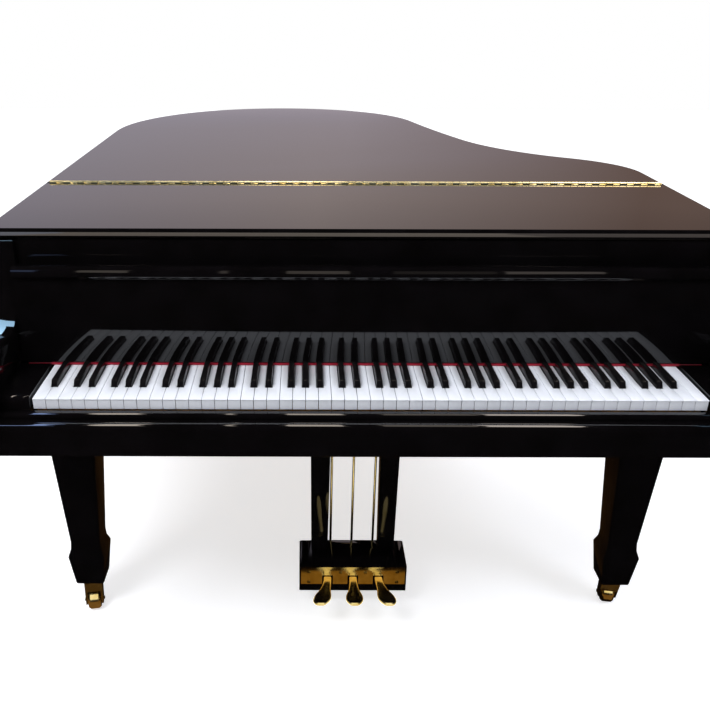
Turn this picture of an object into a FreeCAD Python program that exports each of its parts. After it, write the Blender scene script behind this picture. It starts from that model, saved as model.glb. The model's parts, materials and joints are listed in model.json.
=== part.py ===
import FreeCAD, Part
import math
import os
import Sketcher
from FreeCAD import Rotation, Vector

doc = FreeCAD.newDocument("grand_piano")
dims = doc.addObject("Spreadsheet::Sheet", "dims")

# Driving dimensions in mm and degrees: alias, value, meaning
DIMENSIONS = (
    ("case_length", 2090, "nose of the keybed to tail of the lid"),
    ("case_width", 1480, "width over the lid"),
    ("lid_top", 998, "floor to top of the closed lid"),
    ("key_drop", 263, "top of the closed lid to top of the white keys"),
    ("key_top", "=lid_top - key_drop", "floor to top of the white keys"),
    ("slip_drop", 21.5, "key slip below the white keys"),
    ("slip_height", 10, "key slip above the nose of the keybed"),
    ("keybed_thickness", 66, "keybed board at its nose"),
    ("case_bottom", "=key_top - slip_drop - slip_height - keybed_thickness", "floor to underside of the case"),
    ("lid_thickness", 20, "main lid and front flap"),
    ("lid_gap", 1.5, "rim top to underside of the lid"),
    ("lid_overhang", 10, "lid edge past the rim"),
    ("lid_round", 7, "edge rounding of the lid"),
    ("lid_setback", 246, "nose of the keybed to front edge of the flap"),
    ("flap_depth", 425, "front edge of the flap to its hinge"),
    ("spine_straight", 1498, "nose of the keybed to start of the tail curve"),
    ("tail_inset", 543, "spine edge to tail apex"),
    ("waist_inset", 480, "treble edge to end of the waist curve"),
    ("waist_depth", 348, "tail apex to end of the waist curve"),
    ("waist_angle", 12.5, "slant of the outline at the waist"),
    ("belly_inset", 124, "treble edge to start of the waist curve"),
    ("belly_setback", 1020, "nose of the keybed to start of the waist curve"),
    ("belly_angle", 57.5, "slant of the outline at the belly"),
    ("treble_straight", 815, "nose of the keybed to end of the treble side"),
    ("rim_wall", 47, "thickness of the bent rim"),
    ("rim_ledge", 40, "width of the inner ledge of the rim"),
    ("rim_round", 4, "edge rounding of the rim"),
    ("arm_rise", 78, "top of the arms above the keys"),
    ("arm_setback", 6, "nose of the keybed to front of the arms"),
    ("arm_cove", 90, "radius where the arms meet the rim"),
    ("arm_nose", 42, "radius of the front of the arms"),
    ("keybed_recess", 6, "nose of the keybed to floor of the key well"),
    ("keybed_round", 9, "rounding of the keybed nose"),
    ("bed_depth", 477, "nose to back of the keybed"),
    ("key_setback", 45, "nose of the keybed to front of the keys"),
    ("cheek_width", 65.5, "end key to arm"),
    ("key_pitch", "=(case_width / 2 - lid_overhang - rim_wall - cheek_width) / 26", "spacing of the white keys"),
    ("key_gap", 0.9, "gap between keys"),
    ("key_height", 21.5, "white key top to underside"),
    ("key_length", 400, "whole key lever"),
    ("key_reach", 150, "length of the keys in front of the fallboard"),
    ("key_head", 50, "wide part of a white key"),
    ("key_cover", 2.5, "thickness of the key covering"),
    ("key_lip", 1.8, "overhang of the key covering"),
    ("sharp_slot", 13, "space for a black key"),
    ("sharp_rise", 12, "black key above white key"),
    ("sharp_taper", 0.8, "draw-in of each side of a black key"),
    ("sharp_slope", 6, "slope of the front of a black key"),
    ("balance_setback", 230, "key front to balance rail"),
    ("slip_thickness", 17, "key slip board"),
    ("slip_round", 8, "front edge of the key slip"),
    ("slip_gap", 3, "key slip to key fronts"),
    ("cheek_rise", 4.5, "cheek blocks above the white keys"),
    ("felt_height", 5.5, "felt strip behind the keys"),
    ("felt_lift", 0.8, "white keys to felt strip"),
    ("felt_thickness", 5, "felt strip front to back"),
    ("fall_height", 192, "height of the fallboard"),
    ("fall_thickness", 20, "fallboard"),
    ("fall_lean", 6, "lean of the open fallboard"),
    ("fall_lift", 8, "white keys to fallboard"),
    ("fall_pivot_rise", 24, "white keys to pivots of the fallboard"),
    ("fall_pivot_inset", 6, "front of the fallboard to its pivots"),
    ("fall_lip", 11, "lip in front of the fallboard"),
    ("fall_lip_height", 24, "height of the lip"),
    ("fall_gap", 2, "fallboard to each arm"),
    ("string_drop", 103, "top of the closed lid to the plain strings"),
    ("string_height", "=lid_top - string_drop", "floor to the plain strings"),
    ("bass_rise", 20, "wound strings above plain strings"),
    ("bridge_height", 36, "soundboard to plain strings"),
    ("soundboard_thickness", 9, "soundboard panel"),
    ("belly_rail_setback", 440, "key front to belly rail"),
    ("belly_rail_width", 45, "belly rail front to back"),
    ("strike_setback", 410, "key front to strike line"),
    ("plate_setback", 222, "key front to front of the iron plate"),
    ("plate_clearance", 4, "iron plate to rim"),
    ("web_drop", 7, "plain strings to plate web"),
    ("web_thickness", 12, "plate web"),
    ("bar_height", 23, "plate bars above the web"),
    ("bar_width", 22, "plate bars"),
    ("pin_block_thickness", 38, "pin block"),
    ("leg_top", 120, "width of a leg at the case"),
    ("leg_ankle", 70, "width of a leg at the ankle"),
    ("leg_foot", 86, "width of the spade foot"),
    ("leg_toe", 68, "width of the foot at the floor end"),
    ("leg_inset", 86, "side of the rim to middle of a front leg"),
    ("leg_setback", 373, "nose of the keybed to the front legs"),
    ("tail_leg_inset", 330, "tail of the lid to the tail leg"),
    ("caster_height", 84, "floor to the foot of a leg"),
    ("wheel_radius", 25, "caster wheel"),
    ("wheel_width", 30, "caster wheel"),
    ("caster_trail", 16, "swivel axis to axle"),
    ("lyre_setback", 345, "nose of the keybed to front of the pedal box"),
    ("lyre_width", 262, "pedal box"),
    ("lyre_depth", 104, "pedal box front to back"),
    ("lyre_bottom", 61, "floor to pedal box"),
    ("lyre_rise", 78, "height of the pedal box"),
    ("post_spacing", 163, "lyre posts centre to centre"),
    ("post_top", 50, "lyre post width at the case"),
    ("post_foot", 40, "lyre post width at the box"),
    ("pedal_spacing", 62, "pedals centre to centre"),
    ("pedal_thickness", 10, "pedal"),
    ("pedal_reach", 98, "pedal in front of the box"),
    ("pedal_height", 101, "floor to middle of the pedals"),
    ("rod_spacing", 53, "pedal rods centre to centre"),
    ("rod_radius", 3, "pedal rods"),
    ("prop_length", 880, "prop stick pivot to tip"),
    ("prop_width", 22, "prop stick"),
    ("prop_thickness", 16, "prop stick"),
    ("prop_drop", 70, "top of the closed lid to middle of the folded prop"),
    ("prop_height", "=lid_top - prop_drop", "floor to middle of the folded prop"),
    ("barrel_radius", 4.5, "knuckles of the flap hinge"),
    ("running_fit", 0.05, "radial play of a hinge pin"),
    ("fit_gap", 0.3, "play between fitted boards"),
)
for row, (alias, size, meaning) in enumerate(DIMENSIONS, start=1):
    dims.set(f"A{row}", meaning)
    dims.set(f"B{row}", str(size))
    dims.setAlias(f"B{row}", alias)
doc.recompute()

# Levels shared by several pieces, as sheet expressions
FRONT = "(-dims.case_length / 2)"
TAIL = "(dims.case_length / 2)"
HALF_WIDTH = "(dims.case_width / 2)"
KEY_FRONT = f"({FRONT} + dims.key_setback)"
LID_FRONT = f"({FRONT} + dims.lid_setback)"
FLAP_SEAM = f"({LID_FRONT} + dims.flap_depth)"
LID_UNDER = "(dims.lid_top - dims.lid_thickness)"
RIM_TOP = f"({LID_UNDER} - dims.lid_gap)"
RIM_OUTER = f"({HALF_WIDTH} - dims.lid_overhang)"
RIM_INNER = f"({RIM_OUTER} - dims.rim_wall)"
KEYBED_TOP = "(dims.case_bottom + dims.keybed_thickness)"
WELL_FLOOR = f"({KEYBED_TOP} - dims.keybed_recess)"
SLIP_BACK = f"({KEY_FRONT} - dims.slip_gap)"
KEY_UNDER = "(dims.key_top - dims.key_height)"
KEYBOARD_HALF = "(26 * dims.key_pitch)"
SOUNDBOARD_TOP = "(dims.string_height - dims.bridge_height)"
SOUNDBOARD_UNDER = f"({SOUNDBOARD_TOP} - dims.soundboard_thickness)"
BELLY = f"({KEY_FRONT} + dims.belly_rail_setback)"
STRIKE = f"({KEY_FRONT} + dims.strike_setback)"
WEB_TOP = "(dims.string_height - dims.web_drop)"
WEB_UNDER = f"({WEB_TOP} - dims.web_thickness)"
PLATE_FRONT = f"({KEY_FRONT} + dims.plate_setback)"


def number(expression):
    """Value of a sheet expression."""
    return float(dims.evalExpression(expression))


def bind(obj, **expressions):
    for name, expression in expressions.items():
        obj.setExpression(name, expression)
    return obj


def place(obj, x="0", y="0", z="0"):
    for axis, expression in zip("xyz", (x, y, z)):
        obj.setExpression(f"Placement.Base.{axis}", expression)
    return obj


def block(label, size, corner):
    """Rectangular board from its size and lowest corner."""
    board = doc.addObject("Part::Box", label)
    bind(board, Length=size[0], Width=size[1], Height=size[2])
    return place(board, *corner)


def rod(label, radius, length, base, axis):
    """Round bar from base along a fixed axis."""
    bar = doc.addObject("Part::Cylinder", label)
    bar.Placement.Rotation = Rotation(Vector(0, 0, 1), axis)
    bind(bar, Radius=radius, Height=length)
    return place(bar, *base)


def cut(label, base, tool):
    result = doc.addObject("Part::Cut", label)
    result.Base, result.Tool = base, tool
    return result


def fuse(label, pieces):
    result = doc.addObject("Part::MultiFuse", label)
    result.Shapes = pieces
    return result


def group(label, pieces):
    result = doc.addObject("Part::Compound", label)
    result.Links = pieces
    return result


def mirror(label, source):
    """Copy of a piece on the other side of the case."""
    copy = doc.addObject("Part::Mirroring", label)
    copy.Source, copy.Normal = source, Vector(1, 0, 0)
    return copy


def solid_feature(label, shape):
    feature = doc.addObject("Part::Feature", label)
    feature.Shape = shape
    return feature


def raised(label, face, height, level):
    """Plan face lifted into a board of a bound height at a bound level."""
    plan = place(solid_feature(f"{label}_plan", face), z=level)
    board = doc.addObject("Part::Extrusion", label)
    board.Base, board.DirMode, board.Dir, board.Solid = plan, "Custom", Vector(0, 0, 1), True
    return bind(board, LengthFwd=height)


def origin_plane(body, role):
    return next(item for item in body.Origin.OriginFeatures if item.Role == role)


def polygon_sketch(body, name, role, corners, offset="0"):
    """Closed sketch whose corners are pairs of sheet expressions."""
    sketch = body.newObject("Sketcher::SketchObject", name)
    sketch.AttachmentSupport = (origin_plane(body, role), [""])
    sketch.MapMode = "FlatFace"
    sketch.setExpression("AttachmentOffset.Base.z", offset)
    spots = [Vector(number(u), number(v), 0) for u, v in corners]
    for index, spot in enumerate(spots):
        sketch.addGeometry(Part.LineSegment(spot, spots[(index + 1) % len(spots)]), False)
    for index, (u, v) in enumerate(corners):
        following = (index + 1) % len(corners)
        sketch.addConstraint(Sketcher.Constraint("Coincident", index, 2, following, 1))
    for index, corner in enumerate(corners):
        for kind, expression in zip(("DistanceX", "DistanceY"), corner):
            rule = Sketcher.Constraint(kind, -1, 1, index, 1, number(expression))
            sketch.setExpression(f"Constraints[{sketch.addConstraint(rule)}]", expression)
    return sketch


def padded(label, role, corners, length, offset="0"):
    """Body with one polygon padded to both sides of its plane."""
    body = doc.addObject("PartDesign::Body", label)
    sketch = polygon_sketch(body, f"{label}_sketch", role, corners, offset)
    pad = body.newObject("PartDesign::Pad", f"{label}_pad")
    pad.Profile, pad.Midplane = sketch, True
    bind(pad, Length=length)
    doc.recompute()
    return body


def lofted(label, sections):
    """Body drawn through square sections: list of (corners, level)."""
    body = doc.addObject("PartDesign::Body", label)
    sketches = [polygon_sketch(body, f"{label}_section{index}", "XY_Plane", corners, level)
                for index, (corners, level) in enumerate(sections)]
    loft = body.newObject("PartDesign::AdditiveLoft", f"{label}_loft")
    loft.Profile, loft.Sections, loft.Ruled = sketches[0], sketches[1:], True
    doc.recompute()
    return body


def edge_names(shape, wanted):
    return [f"Edge{index}" for index, edge in enumerate(shape.Edges, start=1) if wanted(edge)]


def dressed(label, base, steps):
    """Body on a finished shape, then its roundings: (kind, radius, edge test)."""
    body = doc.addObject("PartDesign::Body", label)
    body.BaseFeature = base
    doc.recompute()
    return dress(body, steps)


def dress(body, steps):
    for index, (kind, radius, wanted) in enumerate(steps):
        step = body.newObject(f"PartDesign::{kind}", f"{body.Name}_{kind.lower()}{index}")
        previous = step.BaseFeature if step.BaseFeature else body.Tip
        step.Base = (previous, edge_names(previous.Shape, wanted))
        bind(step, **{"Radius" if kind == "Fillet" else "Size": radius})
        doc.recompute()
    return body


def near(first, second, slack=0.01):
    return abs(first - second) < slack


def along(edge, axis):
    """True for a straight edge along the axis."""
    start, end = edge.Vertexes[0].Point, edge.Vertexes[-1].Point
    return edge.Length > 1e-6 and near(abs((end - start).dot(axis)), edge.Length, 1e-4)


def level_edge(edge, level):
    box = edge.BoundBox
    return near(box.ZMin, level) and near(box.ZMax, level)


AXIS_X, AXIS_Y, AXIS_Z = Vector(1, 0, 0), Vector(0, 1, 0), Vector(0, 0, 1)


# Plan outline: straight spine, tail, waist, belly and straight treble side
def outline_nodes():
    """Points of the lid outline with the heading at each of them."""
    half, tail = number(HALF_WIDTH), number(TAIL)
    nose = number(FRONT)
    waist = math.radians(number("dims.waist_angle"))
    belly = math.radians(number("dims.belly_angle"))
    return (
        (Vector(-half, nose + number("dims.spine_straight")), Vector(0, 1)),
        (Vector(-half + number("dims.tail_inset"), tail), Vector(1, 0)),
        (Vector(half - number("dims.waist_inset"), tail - number("dims.waist_depth")),
         Vector(math.sin(waist), -math.cos(waist))),
        (Vector(half - number("dims.belly_inset"), nose + number("dims.belly_setback")),
         Vector(math.sin(belly), -math.cos(belly))),
        (Vector(half, nose + number("dims.treble_straight")), Vector(0, -1)),
    )


def two_arcs(start, heading, end, final):
    """Two tangent arcs between two points with given headings."""
    span, total, bend = end - start, heading + final, 1 - heading.dot(final)
    reach = (-span.dot(total) + math.sqrt(span.dot(total) ** 2 + 2 * bend * span.dot(span))) / (2 * bend)
    leave, arrive = start + heading * reach, end - final * reach
    middle, course = (leave + arrive) * 0.5, (arrive - leave).normalize()
    return ((start, heading, middle, course), (middle, course, end, final))


def shifted_arc(start, heading, end, final, inset):
    """Arc edge moved to the right of its heading by inset."""
    first = start + Vector(heading.y, -heading.x) * inset
    last = end + Vector(final.y, -final.x) * inset
    turn = math.atan2(heading.x * final.y - heading.y * final.x, heading.dot(final))
    chord = last - first
    bulge = Vector(chord.y, -chord.x) * (0.5 * math.tan(turn / 4))
    return Part.Arc(first, (first + last) * 0.5 + bulge, last).toShape()


def outline_face(inset, start, end=None):
    """Plan of the case drawn in by inset, from start to the tail or to end."""
    nodes = outline_nodes()
    half = number(HALF_WIDTH) - inset
    left, right = Vector(-half, start), Vector(half, start)
    if end is not None:
        return Part.Face(Part.makePolygon([left, Vector(-half, end), Vector(half, end), right, left]))
    arcs = [arc for here, there in zip(nodes, nodes[1:]) for arc in two_arcs(*here, *there)]
    edges = [shifted_arc(*arc, inset) for arc in arcs]
    spine_end, treble_end = edges[0].Vertexes[0].Point, edges[-1].Vertexes[-1].Point
    edges.insert(0, Part.makeLine(left, spine_end))
    edges += [Part.makeLine(treble_end, right), Part.makeLine(right, left)]
    return Part.Face(Part.Wire(Part.__sortEdges__(edges)))


# Rim: one bent wall with an inner ledge, its front ends lowered into arms
rim_inset = number("dims.lid_overhang")
wall_inset = rim_inset + number("dims.rim_wall")
ledge_inset = wall_inset + number("dims.rim_ledge")
arm_front = number(f"{FRONT} + dims.arm_setback")
wall_height = f"{RIM_TOP} - dims.case_bottom"
ledge_height = f"{SOUNDBOARD_UNDER} - dims.case_bottom"
rim_outside = raised("rim_outside", outline_face(rim_inset, arm_front), wall_height, "dims.case_bottom")
rim_inside = raised("rim_inside", outline_face(wall_inset, arm_front - 5), wall_height, "dims.case_bottom")
rim_wall = cut("rim_wall", rim_outside, rim_inside)
ledge_start = number(f"{BELLY} + dims.belly_rail_width + dims.fit_gap")
ledge_outside = raised("ledge_outside", outline_face(wall_inset - 5, ledge_start), ledge_height, "dims.case_bottom")
ledge_inside = raised("ledge_inside", outline_face(ledge_inset, ledge_start - 5), ledge_height, "dims.case_bottom")
rim_ledge = cut("rim_ledge", ledge_outside, ledge_inside)
rim_blank = fuse("rim_blank", [rim_wall, rim_ledge])
arm_top = "(dims.key_top + dims.arm_rise)"
arm_space = block("arm_space", ("dims.case_width", "dims.lid_setback", "dims.lid_top"),
                  (f"-{HALF_WIDTH}", f"{FRONT} - dims.arm_setback", arm_top))
rim_arms = cut("rim_arms", rim_blank, arm_space)
arm_level, cove_y = number(arm_top), number(f"{LID_FRONT} - dims.arm_setback")
rim_level, base_level = number(RIM_TOP), number("dims.case_bottom")
rim_body = dressed("rim_body", rim_arms, (
    ("Fillet", "dims.arm_cove", lambda edge: along(edge, AXIS_X) and near(edge.BoundBox.ZMin, arm_level)
     and near(edge.BoundBox.YMin, cove_y)),
    ("Fillet", "dims.arm_nose", lambda edge: along(edge, AXIS_X) and near(edge.BoundBox.ZMin, arm_level)
     and near(edge.BoundBox.YMin, arm_front)),
    ("Fillet", "dims.rim_round", lambda edge: along(edge, AXIS_X) and near(edge.BoundBox.YMin, cove_y)
     and near(edge.BoundBox.ZMin, rim_level)),
))

# Keybed: thick board between the arms, cut down behind its nose, with blind holes for the pedal rods
board_width = f"2 * ({RIM_INNER} - dims.fit_gap)"
keybed_board = padded("keybed_board", "YZ_Plane", (
    (FRONT, "dims.case_bottom"), (f"{FRONT} + dims.bed_depth", "dims.case_bottom"),
    (f"{FRONT} + dims.bed_depth", WELL_FLOOR), (SLIP_BACK, WELL_FLOOR), (SLIP_BACK, KEYBED_TOP),
    (FRONT, KEYBED_TOP)), board_width)
nose = number(FRONT)
dress(keybed_board, (("Fillet", "dims.keybed_round", lambda edge: along(edge, AXIS_X)
                      and near(edge.BoundBox.YMin, nose)),))
PEDAL_PIVOT = f"({FRONT} + dims.lyre_setback + 40)"
ROD_LINE = f"({FRONT} + dims.lyre_setback + dims.lyre_depth - 16)"
ROD_TOP = "(dims.case_bottom + 25)"
PEDAL_NAMES = ("soft", "sostenuto", "sustain")
PEDAL_SPOTS = tuple(f"({step} * dims.pedal_spacing)" for step in (-1, 0, 1))
ROD_SPOTS = tuple(f"({step} * dims.rod_spacing)" for step in (-1, 0, 1))
ROD_BORE = "(dims.rod_radius + 1.5)"
rod_holes = [rod(f"{name}_rod_hole", ROD_BORE, "40", (spot, ROD_LINE, "dims.case_bottom - 5"), AXIS_Z)
             for name, spot in zip(PEDAL_NAMES, ROD_SPOTS)]
keybed = cut("keybed", keybed_board, fuse("rod_holes", rod_holes))

# Key slip: rail in front of the keys
slip_front = f"({SLIP_BACK} - dims.slip_thickness)"
slip_top = "(dims.key_top - dims.slip_drop)"
key_slip = padded("key_slip", "YZ_Plane", (
    (slip_front, KEYBED_TOP), (SLIP_BACK, KEYBED_TOP), (SLIP_BACK, slip_top), (slip_front, slip_top)), board_width)
slip_level, slip_face = number(slip_top), number(slip_front)
dress(key_slip, (
    ("Fillet", "dims.slip_round", lambda edge: along(edge, AXIS_X) and level_edge(edge, slip_level)
     and near(edge.BoundBox.YMin, slip_face)),
    ("Fillet", "2", lambda edge: along(edge, AXIS_X) and level_edge(edge, slip_level)
     and edge.BoundBox.YMin > slip_face + 10)))

# Cheek blocks: one at each end of the keys
cheek_start = f"({KEYBOARD_HALF} + 4)"
cheek_end = f"({RIM_INNER} - dims.fit_gap)"
cheek_front = f"({SLIP_BACK} + dims.fit_gap)"
cheek_back = f"({KEY_FRONT} + dims.key_reach - dims.fit_gap)"
cheek_top = "(dims.key_top + dims.cheek_rise)"
right_cheek = padded("right_cheek", "YZ_Plane", (
    (cheek_front, WELL_FLOOR), (cheek_back, WELL_FLOOR), (cheek_back, cheek_top), (cheek_front, cheek_top)),
    f"{cheek_end} - {cheek_start}", f"({cheek_end} + {cheek_start}) / 2")
cheek_level, cheek_face = number(cheek_top), number(cheek_front)
dress(right_cheek, (("Fillet", "8", lambda edge: along(edge, AXIS_X) and level_edge(edge, cheek_level)
                     and near(edge.BoundBox.YMin, cheek_face)),))
cheek_blocks = group("cheek_blocks", [right_cheek, mirror("left_cheek", right_cheek)])

# Felt strip closing the gap under the fallboard
felt_front = f"({KEY_FRONT} + dims.key_reach)"
nameboard_felt = block("nameboard_felt", (board_width, "dims.felt_thickness", "dims.felt_height"),
                       (f"-({cheek_end})", felt_front, "dims.key_top + dims.felt_lift"))

# Fallboard: drawn about its pivots, then leant back, with a rounded lip at its top
pivot_drop = "(dims.fall_pivot_rise - dims.fall_lift)"
fall_top = f"(dims.fall_height - {pivot_drop})"
fall_face = "(-dims.fall_pivot_inset)"
fall_back = f"({fall_face} + dims.fall_thickness)"
lip_face = f"({fall_face} - dims.fall_lip)"
lip_low = f"({fall_top} - dims.fall_lip_height)"
fall_width = f"2 * ({RIM_INNER} - dims.fall_gap)"
fall_panel = padded("fall_panel", "YZ_Plane", (
    (fall_face, f"-{pivot_drop}"), (fall_back, f"-{pivot_drop}"), (fall_back, fall_top),
    (lip_face, fall_top), (lip_face, lip_low), (fall_face, lip_low)), fall_width)
lip_y, lip_z, top_z, face_y = (number(text) for text in (lip_face, lip_low, fall_top, fall_face))
dress(fall_panel, (
    ("Fillet", "dims.fall_lip * 0.7", lambda edge: along(edge, AXIS_X) and near(edge.BoundBox.YMin, lip_y)),
    ("Fillet", "dims.fall_lip * 0.25", lambda edge: along(edge, AXIS_X) and near(edge.BoundBox.YMin, face_y)
     and near(edge.BoundBox.ZMin, lip_z)),
    ("Fillet", "dims.fall_thickness * 0.2", lambda edge: along(edge, AXIS_X)
     and edge.BoundBox.YMin > face_y + 10 and near(edge.BoundBox.ZMin, top_z))))
FALL_PIVOT_Y = f"({felt_front} + dims.fall_pivot_inset)"
FALL_PIVOT_Z = "(dims.key_top + dims.fall_pivot_rise)"
fall_panel.Placement.Rotation = Rotation(AXIS_X, -number("dims.fall_lean"))
place(fall_panel, "0", FALL_PIVOT_Y, FALL_PIVOT_Z)
pivot_start = f"({RIM_INNER} - 22)"
pivot_hole = rod("pivot_hole", "4 + dims.running_fit", "40", (pivot_start, FALL_PIVOT_Y, FALL_PIVOT_Z), AXIS_X)
pivot_holes = fuse("pivot_holes", [pivot_hole, mirror("pivot_hole_left", pivot_hole)])
fallboard = cut("fallboard", fall_panel, pivot_holes)
right_pivot = rod("right_pivot", "4", "39", (f"{pivot_start} + 0.5", FALL_PIVOT_Y, FALL_PIVOT_Z), AXIS_X)
fallboard_pivots = [right_pivot, mirror("left_pivot", right_pivot)]
rim = cut("rim", rim_body, pivot_holes)

# Main lid and front flap, rounded on every edge but the seam between them
SEAM_HALF = "2"
lid_front_edge = number(f"{FLAP_SEAM} + {SEAM_HALF}")
flap_back_edge = number(f"{FLAP_SEAM} - {SEAM_HALF}")
lid_levels = (number(LID_UNDER), number("dims.lid_top"))


def lid_edge(seam):
    """Test for the rim edges of a lid board, away from its seam."""
    def wanted(edge):
        box = edge.BoundBox
        at_seam = near(box.YMin, seam) and near(box.YMax, seam)
        return not at_seam and any(level_edge(edge, level) for level in lid_levels)
    return wanted


BARREL_Z = "(dims.lid_top + 1)"
barrel_groove = rod("barrel_groove", "dims.barrel_radius + dims.fit_gap", "dims.case_width",
                    (f"-{HALF_WIDTH}", FLAP_SEAM, BARREL_Z), AXIS_X)
lid_board = raised("lid_board", outline_face(0, lid_front_edge), "dims.lid_thickness", LID_UNDER)
lid_panel = dressed("lid_panel", lid_board, (("Fillet", "dims.lid_round", lid_edge(lid_front_edge)),))
main_lid = cut("main_lid", lid_panel, barrel_groove)
flap_board = raised("flap_board", outline_face(0, number(LID_FRONT), flap_back_edge), "dims.lid_thickness", LID_UNDER)
flap_panel = dressed("flap_panel", flap_board, (("Fillet", "dims.lid_round", lid_edge(flap_back_edge)),))
front_flap = cut("front_flap", flap_panel, barrel_groove)

# Continuous hinge along the seam: two leaves with knuckles in turn on one pin
HINGE_HALF = f"({HALF_WIDTH} - 12)"
KNUCKLES = 15
leaf_thickness = 1.6


def knuckle_leaf(side, first):
    """Leaf on one side of the seam with every second knuckle, bored for the pin."""
    half, radius = number(HINGE_HALF), number("dims.barrel_radius")
    seam, level = number(FLAP_SEAM), number(BARREL_Z)
    pitch = 2 * half / KNUCKLES
    gap = number("dims.fit_gap")
    under = number(f"{LID_UNDER} + 3")
    start = seam + (gap if side > 0 else -gap - leaf_thickness)
    pieces = [Part.makeBox(2 * half, leaf_thickness, level - radius * 0.5 - under, Vector(-half, start, under))]
    for index in range(first, KNUCKLES, 2):
        corner = Vector(-half + index * pitch + gap / 2, seam, level)
        pieces.append(Part.makeCylinder(radius, pitch - gap, corner, AXIS_X))
    clear = [Part.makeCylinder(radius + gap, pitch, Vector(-half + index * pitch, seam, level), AXIS_X)
             for index in range(1 - first, KNUCKLES, 2)]
    bore = Part.makeCylinder(2 + number("dims.running_fit"), 2 * half, Vector(-half, seam, level), AXIS_X)
    return pieces[0].fuse(pieces[1:]).cut(clear + [bore])


flap_hinge_lid_leaf = solid_feature("flap_hinge_lid_leaf", knuckle_leaf(1, 0))
flap_hinge_flap_leaf = solid_feature("flap_hinge_flap_leaf", knuckle_leaf(-1, 1))
flap_hinge_pin = rod("flap_hinge_pin", "2", f"2 * {HINGE_HALF}", (f"-{HINGE_HALF}", FLAP_SEAM, BARREL_Z), AXIS_X)

# Three butt hinges under the overhang of the spine side
BUTT_RADIUS = 4
BUTT_X = f"(-{RIM_OUTER} - {BUTT_RADIUS} - dims.fit_gap)"
BUTT_Z = f"({LID_UNDER} - {BUTT_RADIUS} - dims.fit_gap)"
butt_spots = [f"({FLAP_SEAM} + {step} * (dims.spine_straight - dims.lid_setback - dims.flap_depth))"
              for step in (0.12, 0.54, 0.96)]
case_leaves, lid_leaves, butt_pins = [], [], []
for index, spot in enumerate(butt_spots):
    axle = (BUTT_X, f"{spot} - 39", BUTT_Z)
    bore = rod(f"butt_bore{index}", "1.8 + dims.running_fit", "80", (BUTT_X, f"{spot} - 40", BUTT_Z), AXIS_Y)
    middle = rod(f"butt_middle{index}", f"{BUTT_RADIUS}", "26", (BUTT_X, f"{spot} - 13", BUTT_Z), AXIS_Y)
    middle_space = rod(f"butt_space{index}", f"{BUTT_RADIUS} + dims.fit_gap / 2", "26.6",
                       (BUTT_X, f"{spot} - 13.3", BUTT_Z), AXIS_Y)
    ends = rod(f"butt_ends{index}", f"{BUTT_RADIUS}", "78", axle, AXIS_Y)
    plate = block(f"butt_plate{index}", ("2.2", "78", "40"),
                  (f"-{RIM_OUTER} - 2.2", f"{spot} - 39", f"{BUTT_Z} - 40"))
    case_solid = fuse(f"butt_case{index}", [ends, plate])
    case_leaves.append(cut(f"case_leaf{index}", cut(f"butt_open{index}", case_solid, middle_space), bore))
    tongue = block(f"butt_tongue{index}", ("44", "26", "dims.lid_gap - dims.fit_gap"),
                   (f"{BUTT_X} - 2", f"{spot} - 13", f"{RIM_TOP} + dims.fit_gap"))
    lid_leaves.append(cut(f"lid_leaf{index}", fuse(f"butt_lid{index}", [middle, tongue]), bore))
    butt_pins.append(rod(f"butt_pin{index}", "1.8", "78", axle, AXIS_Y))
lid_hinge_case_leaves = group("lid_hinge_case_leaves", case_leaves)
lid_hinge_lid_leaves = group("lid_hinge_lid_leaves", lid_leaves)

# Keyboard: 88 keys as one group for each note name
NOTE_NAMES = ("c", "c_sharp", "d", "d_sharp", "e", "f", "f_sharp", "g", "g_sharp", "a", "a_sharp", "b")
NATURALS = [index for index, name in enumerate(NOTE_NAMES) if "sharp" not in name]
KEY_COUNT = 88
FIRST_NOTE = NOTE_NAMES.index("a")
pitch, slot, key_gap = (number(f"dims.{name}") for name in ("key_pitch", "sharp_slot", "key_gap"))
key_front, key_top, key_under = (number(text) for text in (KEY_FRONT, "dims.key_top", KEY_UNDER))
head, reach, lever = (number(f"dims.{name}") for name in ("key_head", "key_reach", "key_length"))
TAIL_C_TO_E = (3 * pitch - 2 * slot) / 3
TAIL_F_TO_B = (4 * pitch - 3 * slot) / 4


def tail_limits(note):
    """Left and right limit of a key behind the heads, from the left edge of its C."""
    if note < 5:
        left = (note + 1) // 2 * TAIL_C_TO_E + note // 2 * slot
        return left, left + (slot if note % 2 else TAIL_C_TO_E)
    step = note - 5
    left = 3 * pitch + (step + 1) // 2 * TAIL_F_TO_B + step // 2 * slot
    return left, left + (slot if step % 2 else TAIL_F_TO_B)


def prism(points, bottom, top):
    corners = [Vector(x, y, bottom) for x, y in points]
    return Part.Face(Part.makePolygon(corners + corners[:1])).extrude(Vector(0, 0, top - bottom))


def natural_key(head_left, tail_left, tail_right):
    """White key: wide head, narrow tail and a covering that overhangs the front."""
    play = key_gap / 2
    left, right = head_left + play, head_left + pitch - play
    inner_left, inner_right = tail_left + play, tail_right - play
    shoulder, back = key_front + head, key_front + lever

    def plan(front):
        points = [(left, front), (right, front), (right, shoulder)]
        points += [(inner_right, shoulder)] * (right - inner_right > 0.1)
        points += [(inner_right, back), (inner_left, back)]
        points += [(inner_left, shoulder)] * (inner_left - left > 0.1) + [(left, shoulder)]
        return points

    cover = key_top - number("dims.key_cover")
    return prism(plan(key_front + number("dims.key_lip")), key_under, cover).fuse(prism(plan(key_front), cover, key_top))


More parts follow.
